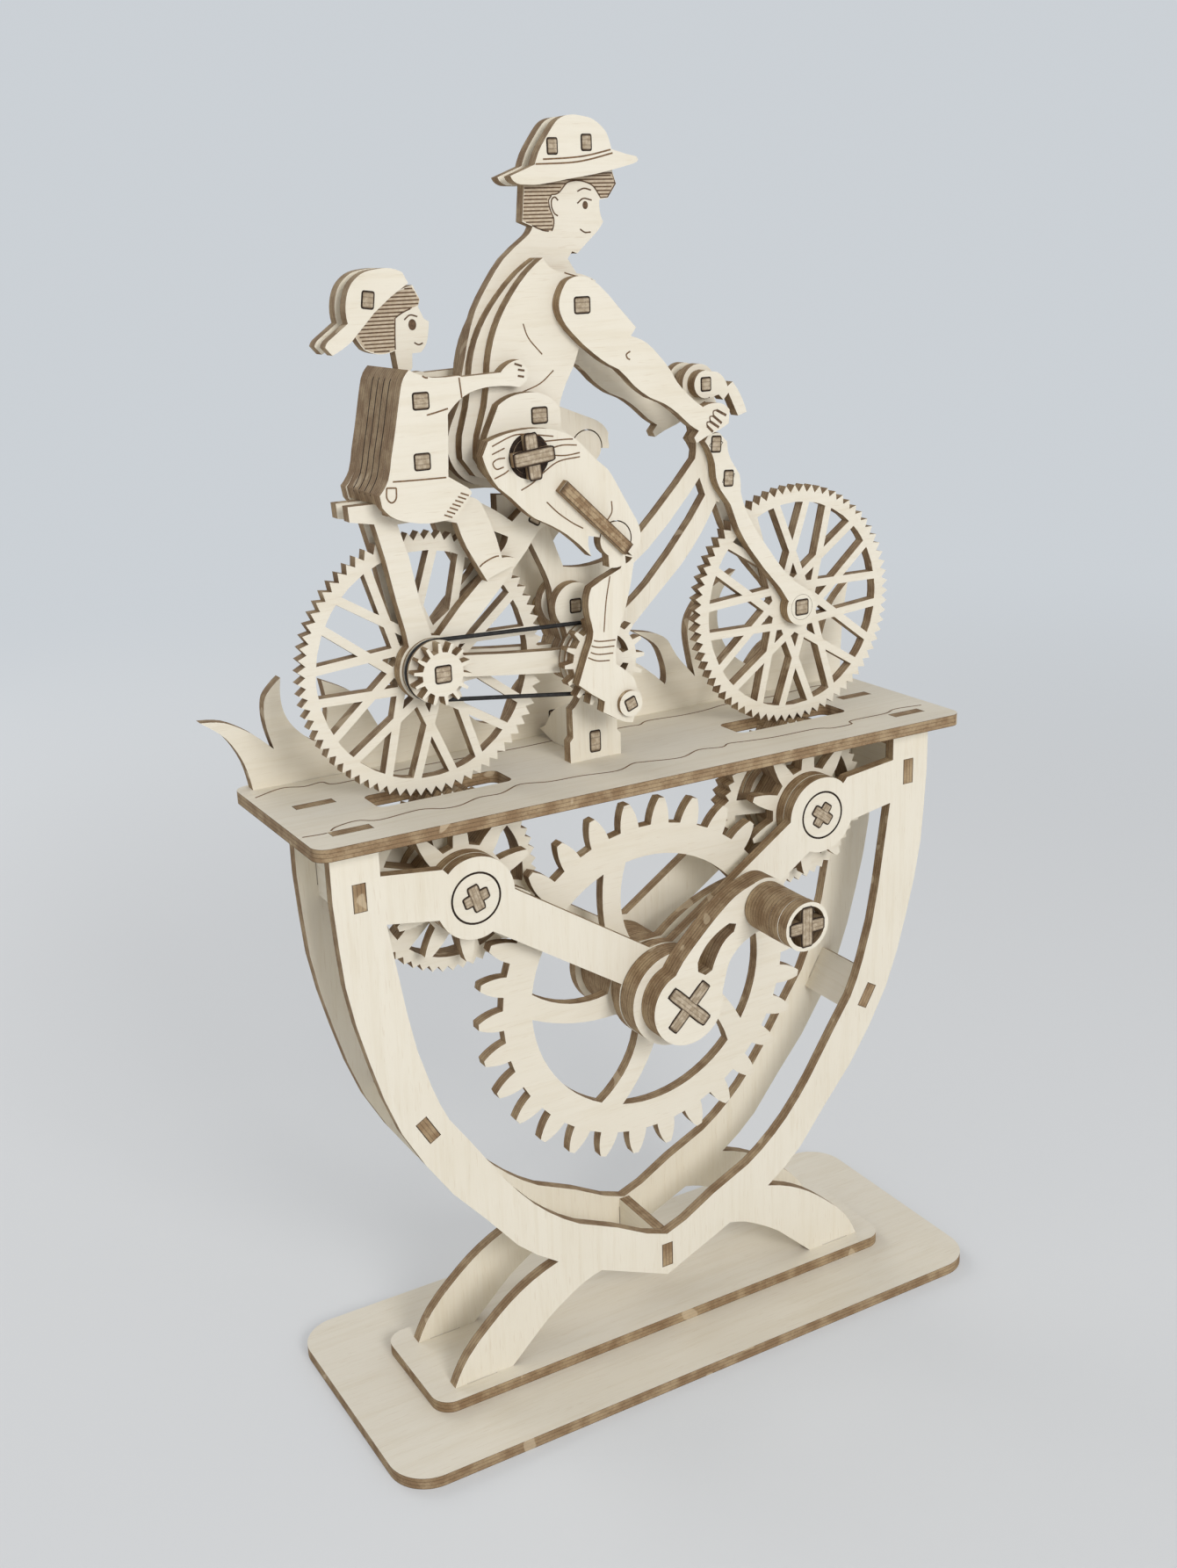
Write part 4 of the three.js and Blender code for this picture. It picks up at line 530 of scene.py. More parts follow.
ownPieces = ("drive_band", "crank_grip")
cutAgain = [name for name in nodes if name not in ownPieces and cutSheets(name)]
print("plates cut again:", len(cutAgain), "left:", [name for name in nodes if name not in cutAgain])


# Geometry Nodes: a tree with named inputs, applied to an object and made a plain mesh
class Grower(Graph):
    def __init__(self, name, inputs):
        super().__init__(bpy.data.node_groups.new(name, "GeometryNodeTree"))
        kinds = {float: "NodeSocketFloat", int: "NodeSocketInt", bpy.types.Material: "NodeSocketMaterial"}
        interface = self.tree.interface
        interface.new_socket("Geometry", in_out="INPUT", socket_type="NodeSocketGeometry")
        for label, value in inputs.items():
            interface.new_socket(label, in_out="INPUT", socket_type=kinds[type(value)])
        interface.new_socket("Geometry", in_out="OUTPUT", socket_type="NodeSocketGeometry")
        self.inputs = inputs
        self.given = self.node("NodeGroupInput")

    def value(self, label):
        return self.given.out(label)

    def attribute(self, name, kind="FLOAT_VECTOR"):
        return self.node("GeometryNodeInputNamedAttribute", {"data_type": kind}, {"Name": name})

    def marked(self, geometry, name, value, kind="FLOAT_VECTOR"):
        sockets = {"Geometry": geometry, "Name": name, "Value": value}
        return self.node("GeometryNodeStoreNamedAttribute", {"data_type": kind}, sockets)

    def joined(self, *parts):
        whole = self.node("GeometryNodeJoinGeometry")
        for part in parts:
            self.tree.links.new(part.socket, whole.socket.node.inputs[0])
        return whole

    def solid(self, flat, height):  # a flat face made a closed plate
        sockets = {"Mesh": flat, "Offset Scale": height, "Individual": False}
        raised = self.node("GeometryNodeExtrudeMesh", {"mode": "FACES"}, sockets)
        whole = self.joined(raised, self.node("GeometryNodeFlipFaces", {}, {"Mesh": flat}))
        return self.node("GeometryNodeMergeByDistance", {}, {"Geometry": whole, "Distance": 0.001 * mm})

    def finished(self, instances, material):
        sockets = {
            "Geometry": self.node("GeometryNodeRealizeInstances", {}, {"Geometry": instances}),
            "Material": self.value(material)}
        return self.node("GeometryNodeSetMaterial", {}, sockets)

    def close(self, geometry):
        self.node("NodeGroupOutput", {}, [geometry])
        return self

    def grow(self, made, body):
        modifier = made.modifiers.new("grow", "NODES")
        modifier.node_group = self.tree
        for socket in self.tree.interface.items_tree:
            if socket.in_out == "INPUT" and socket.name in self.inputs:
                modifier[socket.identifier] = self.inputs[socket.name]
        evaluated = made.evaluated_get(bpy.context.evaluated_depsgraph_get())
        mesh = bpy.data.meshes.new_from_object(evaluated)
        made.modifiers.remove(modifier)
        made.data = mesh
        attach(made, body)
        return made


# Tenon ends: rounded tiles on a dark slot, placed by points that carry their size and turn; the slot is
# painted shade in the gap round the tenon, with the char of its walls
tenonLook = {"Rim": 0.28 * mm, "Proud": 0.16 * mm, "Slot": 0.05 * mm, "Corner": 0.16}


def tenonGrower():
    grower = Grower("tenon_ends", {**tenonLook, "Wood": tenonEnd, "ShadeAndChar": char_and_painted_shade})
    size, turn = grower.attribute("size"), grower.attribute("turn")
    double = grower.value("Rim") * 2.0
    wide = grower.vector("ADD", size, grower.node("ShaderNodeCombineXYZ", {}, [double, double]))
    tiles = []
    for height, scale, shade_and_char in (("Proud", size, False), ("Slot", wide, True)):
        square = grower.node("GeometryNodeCurvePrimitiveQuadrilateral", {}, {"Width": 1.0, "Height": 1.0})
        rounded = grower.node("GeometryNodeFilletCurve", {"mode": "POLY"},
                              {"Curve": square, "Count": 3, "Radius": grower.value("Corner")})
        flat = grower.node("GeometryNodeFillCurve", {"mode": "NGONS"}, {"Curve": rounded})
        tile = grower.marked(flat, "tile", grower.node("GeometryNodeInputPosition"))
        labelled = grower.marked(grower.solid(tile, grower.value(height)), "shade_and_char", shade_and_char, "BOOLEAN")
        tiles.append(grower.node("GeometryNodeInstanceOnPoints", {}, {
            "Points": grower.value("Geometry"), "Instance": labelled, "Rotation": turn, "Scale": scale}))
    return grower.close(grower.node("GeometryNodeSetMaterial", {}, {
        "Geometry": grower.finished(grower.joined(*tiles), "Wood"),
        "Selection": grower.attribute("shade_and_char", "BOOLEAN"), "Material": grower.value("ShadeAndChar")}))


tenons = tenonGrower()


# A mark is a side, x, y, z, width and height in millimetres, and a turn in degrees
def addTenons(name, body, marks):
    mesh = bpy.data.meshes.new(name)
    mesh.from_pydata([(x * mm, y * mm, z * mm) for side, x, y, z, wide, high, turn in marks], [], [])
    turns = mesh.attributes.new("turn", "FLOAT_VECTOR", "POINT")
    sizes = mesh.attributes.new("size", "FLOAT_VECTOR", "POINT")
    for index, (side, x, y, z, wide, high, turn) in enumerate(marks):
        upright = Matrix.Rotation(math.radians(-90 * away[side]), 3, "X")
        inPlane = Matrix.Rotation(math.radians(-away[side] * turn), 3, "Z")
        turns.data[index].vector = (upright @ inPlane).to_euler()
        sizes.data[index].vector = (wide * mm, high * mm, 1)
    return tenons.grow(newObject(name, mesh), body)


# Marks on a plate in front and on its twin at the back: x, z, width, height and turn
bicyclePins = {
    ("front_stay_plate", "rear_stay_plate"): [(-23.4, 216.787, 2.6, 3.1, -30), (-14, 194.987, 2.6, 2.9, 0)],
    ("front_fork_plate", "rear_fork_plate"): [(26, 228.687, 2.4, 3.5, -4), (29.5, 220.287, 2.4, 3.5, -3)],
}
figurePins = {
    ("hat_front", "hat_rear"): [(-15.6, 295.4, 2.2, 3.0, 0), (-7.1, 296.1, 2.2, 3.0, 0)],
    ("front_arm", "rear_arm"): [(-12.9, 262.5, 3.6, 3.2, 0)],
    ("waist_front", "waist_rear"): [(-24.6, 239.8, 3.6, 3.2, 0)],
    ("child_front", "child_rear"): [(-53.0, 245.0, 3.4, 3.2, 0), (-53.5, 232.4, 3.4, 3.2, 0)],
    ("cap_front", "cap_rear"): [(-60.7, 265.7, 2.4, 3.2, -8)],
    ("handlebar", "handlebar"): [(21.4, 243.087, 2.4, 2.8, 0)],
}
squareEnds = {  # a wheel's node, body, joint and its axle's width
    "rear_wheel": ("rear_sprocket", "rear_wheel_set", "rear_wheel_spin", 3.6),
    "front_wheel": ("front_wheel", "front_wheel_set", "front_wheel_spin", 3.6),
    "pedal": ("chainring", "pedals", "pedal_spin", 3.4),
}
crossEnds = {  # a shaft's node, joint, bar length and width, turn, and how far one bar lies over the other
    "hip": ("hip_axle", "front_hip", 9.8, 3.0, 96, 0.55),
    "crank": ("crank_shaft", "crank_spin", 14.0, 3.0, 45, 0.06),
    "grip": ("grip_pin", "grip_spin", 9.8, 3.0, 0, 0.06),
    "left_axle": ("left_axle", "left_axle_spin", 6.3, 2.6, 17.336, 0.06),
    "right_axle": ("right_axle", "right_axle_spin", 6.3, 2.6, 53.336, 0.06),
}


def pinMarks(pins):
    return [(side, x, faceOf(plate, side), z, wide, high, turn) for pair, marks in pins.items()
            for side, plate in zip(away, pair) for x, z, wide, high, turn in marks]


def crossMarks(name, sides=tuple(away)):
    node, joint, long, wide, turn, lift = crossEnds[name]
    x, z = pivots[joint]
    marks = []
    for side in sides:
        level = faceOf(node, side)
        marks.append((side, x, level, z, long, wide, turn))
        marks.append((side, x, level + away[side] * lift, z, long, wide, turn + 90))
    return marks


addTenons("bicycle_pin_ends", "stand", pinMarks(bicyclePins))
addTenons("figure_pin_ends", "stand", pinMarks(figurePins) + crossMarks("hip"))
addTenons("post_pin_end", "stand", [("front", -8.0, faceOf("post_plate", "front"), 160.2, 2.6, 5.0, 0)])
addTenons("crank_cross_ends", "crank", crossMarks("crank") + crossMarks("grip", ["front"]))
for end in ("left_axle", "right_axle"):
    addTenons(end + "_cross_ends", end + "_set", crossMarks(end))
for end, (node, body, joint, wide) in squareEnds.items():
    x, z = pivots[joint]
    marks = [(side, x, faceOf(node, side), z, wide, wide, 0) for side in away]
    addTenons(end + "_square_ends", body, marks)
print("tenon ends placed")

# Soft rubber band round the pulleys of the rear wheel and the chainring
band = {"thick": 1.0, "wheelRadius": 6.2, "bracketRadius": 8.0, "clear": 0.12, "sections": 10,
        "wheelSteps": 16, "bracketSteps": 20}


def bandLoop():
    rear, front = Vector(pivots["rear_wheel_spin"]), Vector(pivots["pedal_spin"])
    along = (front - rear).normalized()
    tilt = math.atan2(along.y, along.x)
    out = band["thick"] / 2 + band["clear"]
    small = band["wheelRadius"] + out
    large = band["bracketRadius"] + out
    spread = math.acos((small - large) / (front - rear).length)
    points = []
    for centre, radius, begin, end, count in (
            (rear, small, tilt + spread, tilt + 2 * math.pi - spread, band["wheelSteps"]),
            (front, large, tilt - spread, tilt + spread, band["bracketSteps"])):
        for step in range(count + 1):
            angle = begin + (end - begin) * step / count
            points.append(centre + radius * Vector((math.cos(angle), math.sin(angle))))
    return points


def addBand():
    loop = bandLoop()
    level = (faceOf("drive_band", "front") + faceOf("drive_band", "back")) / 2
    points = []
    for index, place in enumerate(loop):
        ahead = loop[(index + 1) % len(loop)] - loop[index - 1]
        outward = Vector((ahead.y, -ahead.x)).normalized()
        for way in compass(band["sections"]):
            spot = place + outward * (band["thick"] / 2 * way.x)
            points.append((spot.x * mm, (level + band["thick"] / 2 * way.y) * mm, spot.y * mm))
    faces = tubeFaces(0, len(loop), band["sections"], True)
    made = addMesh("rubber_band", points, faces, rubber, "stand", True)
    outwards(made)
    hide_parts("drive_band")


addBand()
print("band made")

# Engraving: the lines' widths, how far they and a stain stand proud or sink in, and the hatching
lineLook = {
    "width": 0.34,
    "wave": 0.42,
    "fold": 0.28,
    "fine": 0.3,
    "face": 0.32,
    "childFinger": 0.45,
    "bold": 0.6,
    "proud": 0.05,
    "stain": 0.03,
    "sunk": 0.03,
    "above": 0.5,  # where the ray that looks for the plate under a line begins and ends
    "below": -0.1,
    "steps": 5,  # points from one place of a stroke to the next
    "ringSides": 40,
    "eyeSides": 20,
    "hatchPitch": 0.78,
    "hatchSteps": 12,
}


# Thin closed pieces that lie on a sheet, gathered into one mesh: engraved lines, inlays and rings
class Overlay:
    def __init__(self, side, plane, proud):
        self.side = side
        self.plane = plane
        self.proud = proud
        self.points = []
        self.faces = []

    def place(self, u, v, lift):
        if self.side == "top":
            return (u * mm, v * mm, (self.plane + lift) * mm)
        return (u * mm, (self.plane + lift * away[self.side]) * mm, v * mm)

    def strip(self, left, right, endless=False):
        start = len(self.points)
        sunk = -lineLook["sunk"]
        for near, far in zip(left, right):
            self.points += [self.place(*near, self.proud), self.place(*far, self.proud),
                            self.place(*far, sunk), self.place(*near, sunk)]
        self.faces += tubeFaces(start, len(left), 4, endless)

    def line(self, points, width):
        left, right = [], []
        for index, point in enumerate(points):
            before = points[max(index - 1, 0)]
            after = points[min(index + 1, len(points) - 1)]
            ahead = (after - before).normalized() * width / 2
            left.append(point + Vector((-ahead.y, ahead.x)))
            right.append(point + Vector((ahead.y, -ahead.x)))
        self.strip(left, right)

    def area(self, outline):
        start = len(self.points)
        self.points += [self.place(*point, self.proud) for point in outline]
        self.points += [self.place(*point, -lineLook["sunk"]) for point in outline]
        self.faces += tubeFaces(start, 2, len(outline), False)

    def ring(self, centre, inner, outer):
        around = compass(lineLook["ringSides"])
        core = Vector(centre)
        self.strip([core + inner * way for way in around], [core + outer * way for way in around], True)

    def finish(self, name, body, material):
        made = addMesh(name, self.points, self.faces, material, body)
        outwards(made)
        return made


def smoothed(points):  # a curve through all the places of a stroke
    spots = [Vector(point) for point in points]
    if len(spots) < 3:
        return spots
    spots = [2 * spots[0] - spots[1]] + spots + [2 * spots[-1] - spots[-2]]
    made = []
    for first, begin, end, last in zip(spots, spots[1:], spots[2:], spots[3:]):
        for step in range(lineLook["steps"]):
            way = step / lineLook["steps"]
            made.append(0.5 * (2 * begin + (end - first) * way
                               + (2 * first - 5 * begin + 4 * end - last) * way ** 2
                               + (3 * begin - first - 3 * end + last) * way ** 3))
    return made + [spots[-2]]


# A stroke is kept where it lies on its plate, so no line ends in the air
class Seat:
    def __init__(self, node, side, plane):
        data = nodes[node].data
        world = nodes[node].matrix_world
        self.tree = BVHTree.FromPolygons([world @ vertex.co for vertex in data.vertices],
                                         [tuple(face.vertices) for face in data.polygons])
        self.probe = Overlay(side, plane, 0.0)

    def holds(self, point):
        above = Vector(self.probe.place(*point, lineLook["above"]))
        below = Vector(self.probe.place(*point, lineLook["below"]))
        hit = self.tree.ray_cast(above, below - above, (below - above).length)
        return hit[0] is not None

    def runs(self, points, width):
        found, run = [], []
        for index, point in enumerate(points):
            ahead = points[min(index + 1, len(points) - 1)] - points[max(index - 1, 0)]
            across = Vector((-ahead.y, ahead.x)).normalized() * width / 2
            if all(self.holds(spot) for spot in (point, point + across, point - across)):
                run.append(point)
                continue
            if len(run) > 1:
                found.append(run)
            run = []
        return found + [run] if len(run) > 1 else found


def engrave(overlay, seat, strokes, width):
    for points in strokes:
        for run in seat.runs(points, width):
            overlay.line(run, width)


def turnedBy(point, pivot, angle, onto):
    spin = Matrix.Rotation(math.radians(angle), 2)
    return spin @ (Vector(point) - Vector(pivot)) + Vector(onto)


def addLines(name, body, node, side, strokes, width, ink=engraved, plane=None, move=None):
    plane = faceOf(node, side) if plane is None else plane
    curves = [smoothed(stroke) for stroke in strokes]
    if move:
        curves = [[turnedBy(point, *move) for point in curve] for curve in curves]
    overlay = Overlay(side, plane, lineLook["proud"])
    engrave(overlay, Seat(node, side, plane), curves, width)
    overlay.finish(name, body, ink)


def addFigureLines(name, pair, strokes, width=lineLook["width"], ink=engraved):
    for side, node in zip(away, pair):
        addLines(name + "_" + side + "_lines", "stand", node, side, strokes, width, ink)


# Waves on the table, a front line and a rear line, both cut by the wheel slots
tableWaves = [
    [(-88.5, -9), (-83, -9.5), (-80, -7), (-74.5, -5.7), (-70, -8.2), (-60, -7), (-55, -9.5), (-51, -9.7),
     (-45, -7.2), (-39.5, -7.5), (-34, -4.5), (-31, -4.5), (-26, -6.5), (-18, -7), (-9, -8.7), (-3, -6),
     (0, -6.5), (9, -8.8), (16, -6), (22, -7.5), (25, -6), (30, -7), (38, -8.3), (50, -8.5), (54, -10.5),
     (60, -10.5), (62, -8), (73, -8), (78, -6.2), (86, -7.3)],
    [(-87.5, 23.3), (-80, 26.5), (-75, 24.5), (-70.5, 25.3), (-69, 22.5), (-64, 22), (-45, 23), (-22, 22),
     (-10, 22.3), (12, 22), (16, 21.5), (20, 23.5), (30, 22.5), (38, 23), (46, 24.5), (60, 23.5), (74, 25),
     (86, 23.5)],
]
addLines("table_wave_lines", "stand", "table_plate", "top", tableWaves, lineLook["wave"])

# Rider's hat, shirt and hands
hatBand = [
    [(-19.6, 292.7), (-11.6, 293), (-6.6, 293.5), (-1, 294.6)],
    [(-19.8, 291.8), (-11.7, 292), (-6.6, 292.6), (-0.5, 293.9)],
]
torsoFolds = [
    [(-19.6, 272), (-18.4, 270.9), (-15.9, 269.6), (-13, 268.7), (-8.4, 267.6)],
    [(-26.1, 259.2), (-24.9, 256.1), (-21.7, 252.5)],
    [(-19, 248.9), (-22.5, 246.3), (-27.3, 244.7)],
]
elbowLines = [
    [(-0.9, 252), (-1.9, 251.4), (-1.7, 250.6), (-1, 250.2)],
]
fingerLines = [
    [(22.3, 237.3), (25, 235.9)],
    [(21.3, 236.1), (23.7, 234.2)],
    [(20.4, 234.9), (22.9, 233.3)],
    [(19.6, 233.9), (21.2, 232.4)],
]
knuckleLines = [
    [(22.3, 237.3), (21.4, 237.1), (21.3, 236.1), (20.4, 235.9), (20.4, 234.9), (19.6, 234.7),
     (19.6, 233.9)],
]
arms = ("front_arm", "rear_arm")
addFigureLines("hat", ("hat_front", "hat_rear"), hatBand)
addFigureLines("torso", ("torso_outer_front", "torso_outer_rear"), torsoFolds, lineLook["fold"])
addFigureLines("elbow", arms, elbowLines)
addFigureLines("finger", arms, fingerLines, lineLook["bold"], hatched)
addFigureLines("knuckle", arms, knuckleLines, lineLook["fine"], hatched)

# Shorts, knees and socks; the far leg has the same lines, turned with it
legs = {
    "out": 14.4,  # a leg's outer face, out from the middle
    "collarOut": 14.7,  # the face of the collar behind the hip's cross
    "barOut": 16.2,  # the face of the bar over the knee
    "farThigh": 38.285,  # degrees that the far thigh and shin are turned from the near ones
    "farShin": -24.635,
}
shortsLines = [
    [(-38.6, 234.6), (-35, 236), (-32.5, 236.6), (-29.3, 236.4), (-23.5, 235.5)],
    [(-38.7, 232.9), (-35.6, 234)],
    [(-27.2, 234.6), (-20.6, 234.6), (-17.6, 234.4)],
    [(-25, 232.8), (-21.4, 233.4), (-17.7, 233.1)],
    [(-25, 231.6), (-20.7, 231.1), (-17, 231.4)],
    [(-35.6, 231.9), (-37.4, 231.8), (-38.6, 231), (-37.8, 229.7), (-36, 230)],
    [(-39, 227.5), (-36.1, 228.5), (-34.8, 229.2)],
    [(-36.5, 224.4), (-33, 226.6)],
    [(-32, 224.6), (-29.1, 225.9), (-26, 228.1), (-22.3, 230), (-17, 230.5)],
    [(-9.2, 219.9), (-9.2, 217.4), (-10.9, 215.2)],
    [(-25.8, 221.4), (-23, 218.7), (-19.6, 216.2), (-16.8, 214.6)],
]
sockLines = [
    [(-10.2, 202.9), (-11.4, 197.2), (-12.2, 190.2)],
    [(-16.5, 189.3), (-13.7, 188.2), (-9.2, 187.9)],
    [(-16.6, 187.9), (-13.9, 186.8), (-9.5, 186.5)],
    [(-16.9, 186.5), (-14.1, 185.2), (-9.9, 184.9)],
    [(-17.2, 185.1), (-14.3, 183.7), (-10.9, 183.3)],
]


def addLegLines(side, thighTurn, shinTurn):
    word = sideWords[side]
    level = planeOf(side, legs["out"])
    width = lineLook["fine"]
    addLines(word + "_shorts_lines", word + "_thigh_body", word + "_thigh", side, shortsLines, width,
             plane=level, move=(hip, thighTurn, hip))
    addLines(word + "_sock_lines", word + "_shin_body", word + "_shin", side, sockLines, width,
             plane=level, move=(knees["front"], shinTurn, knees[side]))


addLegLines("front", 0.0, 0.0)
addLegLines("back", legs["farThigh"], legs["farShin"])

# Child's clothes, hands and shoes; the cuff of the shorts has a row of pleats
childLines = [
    [(-53.4, 251), (-51.6, 249.7), (-50.3, 249.9)],
    [(-43.8, 249.2), (-43.5, 246.1), (-43.3, 243.3)],
    [(-51.8, 242), (-49.6, 242.4), (-46.8, 243)],
    [(-61.9, 228.9), (-55.3, 228.7), (-48.1, 228.6)],
    [(-62.1, 227.7), (-62.2, 225.6), (-61.2, 224.5), (-60.1, 225.3), (-59.9, 227.5)],
    [(-62.1, 227.7), (-59.9, 227.5)],
    [(-47.4, 219.7), (-42.6, 224.6)],
]
childFingers = [
    [(-30.4, 251.2), (-28.6, 250.6)],
    [(-29.6, 249.9), (-28, 249.6)],
    [(-29.7, 248.6), (-28.2, 248.3)],
]
pleats = {"begin": (-47.2, 219.9), "end": (-43, 224.2), "count": 7, "long": (-1.9, 0.75)}
for index in range(pleats["count"]):
    foot = Vector(pleats["begin"]).lerp(Vector(pleats["end"]), index / (pleats["count"] - 1))
    childLines.append([foot, foot + Vector(pleats["long"])])
shoeLines = [[(-40.1, 207.5), (-38.5, 208.6), (-35.5, 209.6), (-32.4, 209.2)]]
shirts = ("child_front", "child_rear")
addFigureLines("child", shirts, childLines)
addFigureLines("child_finger", shirts, childFingers, lineLook["childFinger"], hatched)
addFigureLines("child_shoe", ("child_leg_front", "child_leg_rear"), shoeLines)

# Both heads are cut from the middle sheet, and only their front face is engraved
headPlane = middle - ply / 2


# Hair: a toasted patch with level hatch lines, clipped to the patch and a little ragged at the tips
def addHair(name, node, outline, ragged):
    edge = curvedLoop([Vector(point) for point in outline])
    patch = Overlay("front", headPlane, lineLook["stain"])
    patch.area(edge)
    patch.finish(name + "_stain", "stand", toasted)
    low = min(point.y for point in edge)
    high = max(point.y for point in edge)
    rows = []
    steps = lineLook["hatchSteps"]
    for row in range(int((high - low) / lineLook["hatchPitch"])):
        level = low + lineLook["hatchPitch"] * (row + 0.5)
        cuts = sorted(begin.x + (end.x - begin.x) * (level - begin.y) / (end.y - begin.y)
                      for begin, end in zip(edge, edge[1:] + edge[:1])
                      if (begin.y > level) != (end.y > level))
        for left, right in zip(cuts[::2], cuts[1::2]):
            pitch = (right - left - ragged * (row % 3)) / steps
            rows.append([Vector((left + pitch * step, level)) for step in range(steps + 1)])
    hatch = Overlay("front", headPlane, lineLook["proud"])
    engrave(hatch, Seat(node, "front", headPlane), rows + [edge], lineLook["fine"])
    hatch.finish(name + "_hatch", "stand", hatched)


riderHair = [
    (-14.8, 278.1), (-14.2, 279.5), (-14.2, 280.8), (-15, 282.6), (-15.3, 284.5), (-14.4, 285.7),
    (-12.9, 285.9), (-11.8, 286.8), (-10.6, 288), (-9.1, 288.4), (-5.8, 288.1), (-4, 287.3), (-2.9, 286),
    (-2.1, 284.8), (-0.3, 284.9), (1.8, 287.7), (1, 289.9), (-20.9, 289.9), (-21.9, 280.4), (-19.6, 279.4),
    (-17, 278.3)]
childHair = [
    (-53.9, 255.2), (-53.8, 258), (-53.5, 261.6), (-51.9, 262.6), (-49.8, 263.4), (-48, 264),
    (-47.6, 265.2), (-49.3, 268), (-63.6, 263.5), (-62.9, 258.8), (-60.9, 255.8), (-58, 254.7)]
addHair("rider_hair", "rider_core", riderHair, 0.25)
addHair("child_hair", "child_core", childHair, 0.12)


# Faces: a plain design of our own in the engraved style
def addFace(name, node, strokes, centre, radius):
    overlay = Overlay("front", headPlane, lineLook["proud"])
    curves = [smoothed(stroke) for stroke in strokes]
    engrave(overlay, Seat(node, "front", headPlane), curves, lineLook["face"])
    around = compass(lineLook["eyeSides"])
    overlay.area([Vector(centre) + radius * Vector((0.8 * way.x, way.y)) for way in around])
    overlay.finish(name, "stand", hatched)


riderFace = [
    [(-12.9, 284.4), (-13.7, 285.1), (-14.5, 284.6), (-14.6, 283.2), (-14, 281.8), (-13.1, 281.2)],
    [(-8.1, 283.7), (-6.5, 284.7), (-4.4, 284.3)],
    [(-8, 286.2), (-6.3, 286.8), (-4.5, 286.4)],
    [(-7.6, 278.3), (-6.4, 277.6), (-4.9, 277.6)],
]
childFace = [
    [(-51.4, 261.2), (-50, 262.1), (-48.3, 261.7)],
    [(-49.4, 256.4), (-48.4, 255.9), (-47.4, 256.2)],
]
addFace("rider_face_lines", "rider_core", riderFace, (-6.1, 283.3), 0.85)
addFace("child_face_lines", "child_core", childFace, (-49.6, 260.1), 1.15)
print("engraving done")

# Dark gaps round the axle journals, and the shade behind the hips' crosses: both are painted shade, dark
# rings laid on the faces
gaps = {"journalIn": 5.9, "journalOut": 6.4, "hipIn": 0.6, "hipOut": 5.0, "collarOut": 4.0, "proud": 0.04}


def addGap(name, body, side, plane, centre, inner, outer):
    overlay = Overlay(side, plane, gaps["proud"])
    overlay.ring(centre, inner, outer)
    overlay.finish(name, body, char_and_painted_shade)


for end in ("left_axle", "right_axle"):
    for side in away:
        addGap(end + "_gap_" + side, end + "_set", side, faceOf(end, side), pivots[end + "_spin"],
               gaps["journalIn"], gaps["journalOut"])
for side, word in sideWords.items():
    addGap(word + "_hip_gap", word + "_thigh_body", side, planeOf(side, legs["out"]), hip,
           gaps["hipIn"], gaps["hipOut"])
    addGap(word + "_hip_collar_shade", "stand", side, planeOf(side, legs["collarOut"]), hip,
           gaps["hipIn"], gaps["collarOut"])
print("gaps done")

# Knee bars: a strip of end grain on each bar, which begins and ends at shares of the way from hip to knee
kneeBar = {"from": 0.342, "to": 1.118, "wide": 2.96, "proud": 0.12}


def addKneeBar(side):
    word = sideWords[side]
    ends = [Vector(hip).lerp(Vector(knees[side]), kneeBar[end]) for end in ("from", "to")]
    overlay = Overlay(side, planeOf(side, legs["barOut"]), kneeBar["proud"])
    overlay.line(ends, kneeBar["wide"])
    made = overlay.finish(word + "_knee_bar_grain", word + "_thigh_body", barEnd)
    tile = made.data.attributes.new("tile", "FLOAT_VECTOR", "POINT")
    across = (0.5, -0.5, -0.5, 0.5)  # where each corner of the strip lies on its tile
    for index in range(len(made.data.vertices)):
        tile.data[index].vector = (-0.5 if index < 4 else 0.5, across[index % 4], 0)


for side in away:
    addKneeBar(side)

# Grip: loose rings on the cross-shaped pin
grip = {"Outer": 6.2 * mm, "Bore": 5.15 * mm, "Long": 3.32 * mm, "Pitch": 3.34 * mm, "Count": 5,
        "Wear": 0.12 * mm, "Seed": 7}
gripWood = plyMaterial(axes["y"], faceOf("crank_grip", "front"), "x", grip["Pitch"] / mm)


def gripGrower():
    grower = Grower("grip_rings", {**grip, "Wood": gripWood})
    circles = []
    for label in ("Outer", "Bore"):
        sockets = {"Resolution": 40, "Radius": grower.value(label)}
        circles.append(grower.node("GeometryNodeCurvePrimitiveCircle", {}, sockets))
    flat = grower.node("GeometryNodeFillCurve", {"mode": "NGONS"}, {"Curve": grower.joined(*circles)})
    ring = grower.solid(flat, grower.value("Long"))
    step = grower.node("ShaderNodeCombineXYZ", {}, {"Z": grower.value("Pitch")})
    sockets = {"Count": grower.value("Count"), "Offset": step}
    row = grower.node("GeometryNodeMeshLine", {"mode": "OFFSET"}, sockets)
    jitter = grower.node("FunctionNodeRandomValue", {"data_type": "FLOAT"}, {
        2: grower.value("Wear") * -1.0, 3: grower.value("Wear"), "Seed": grower.value("Seed")}, 1)
    shift = grower.node("ShaderNodeCombineXYZ", {}, {"X": jitter})
    shifted = grower.node("GeometryNodeSetPosition", {}, {"Geometry": row, "Offset": shift})
    rings = grower.node("GeometryNodeInstanceOnPoints", {}, {"Points": shifted, "Instance": ring})
    return grower.close(grower.finished(rings, "Wood"))


def addGrip():
    made = gripGrower().grow(newObject("grip_rings", bpy.data.meshes.new("grip_rings")), "grip")
    low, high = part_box("crank_grip")
    centre = (low + high) / 2
    lengthwise = Matrix.Rotation(math.radians(90), 4, "X")
    made.data.transform(Matrix.Translation((centre.x, high.y, centre.z)) @ lengthwise)
    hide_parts("crank_grip")


addGrip()
print("grip made")

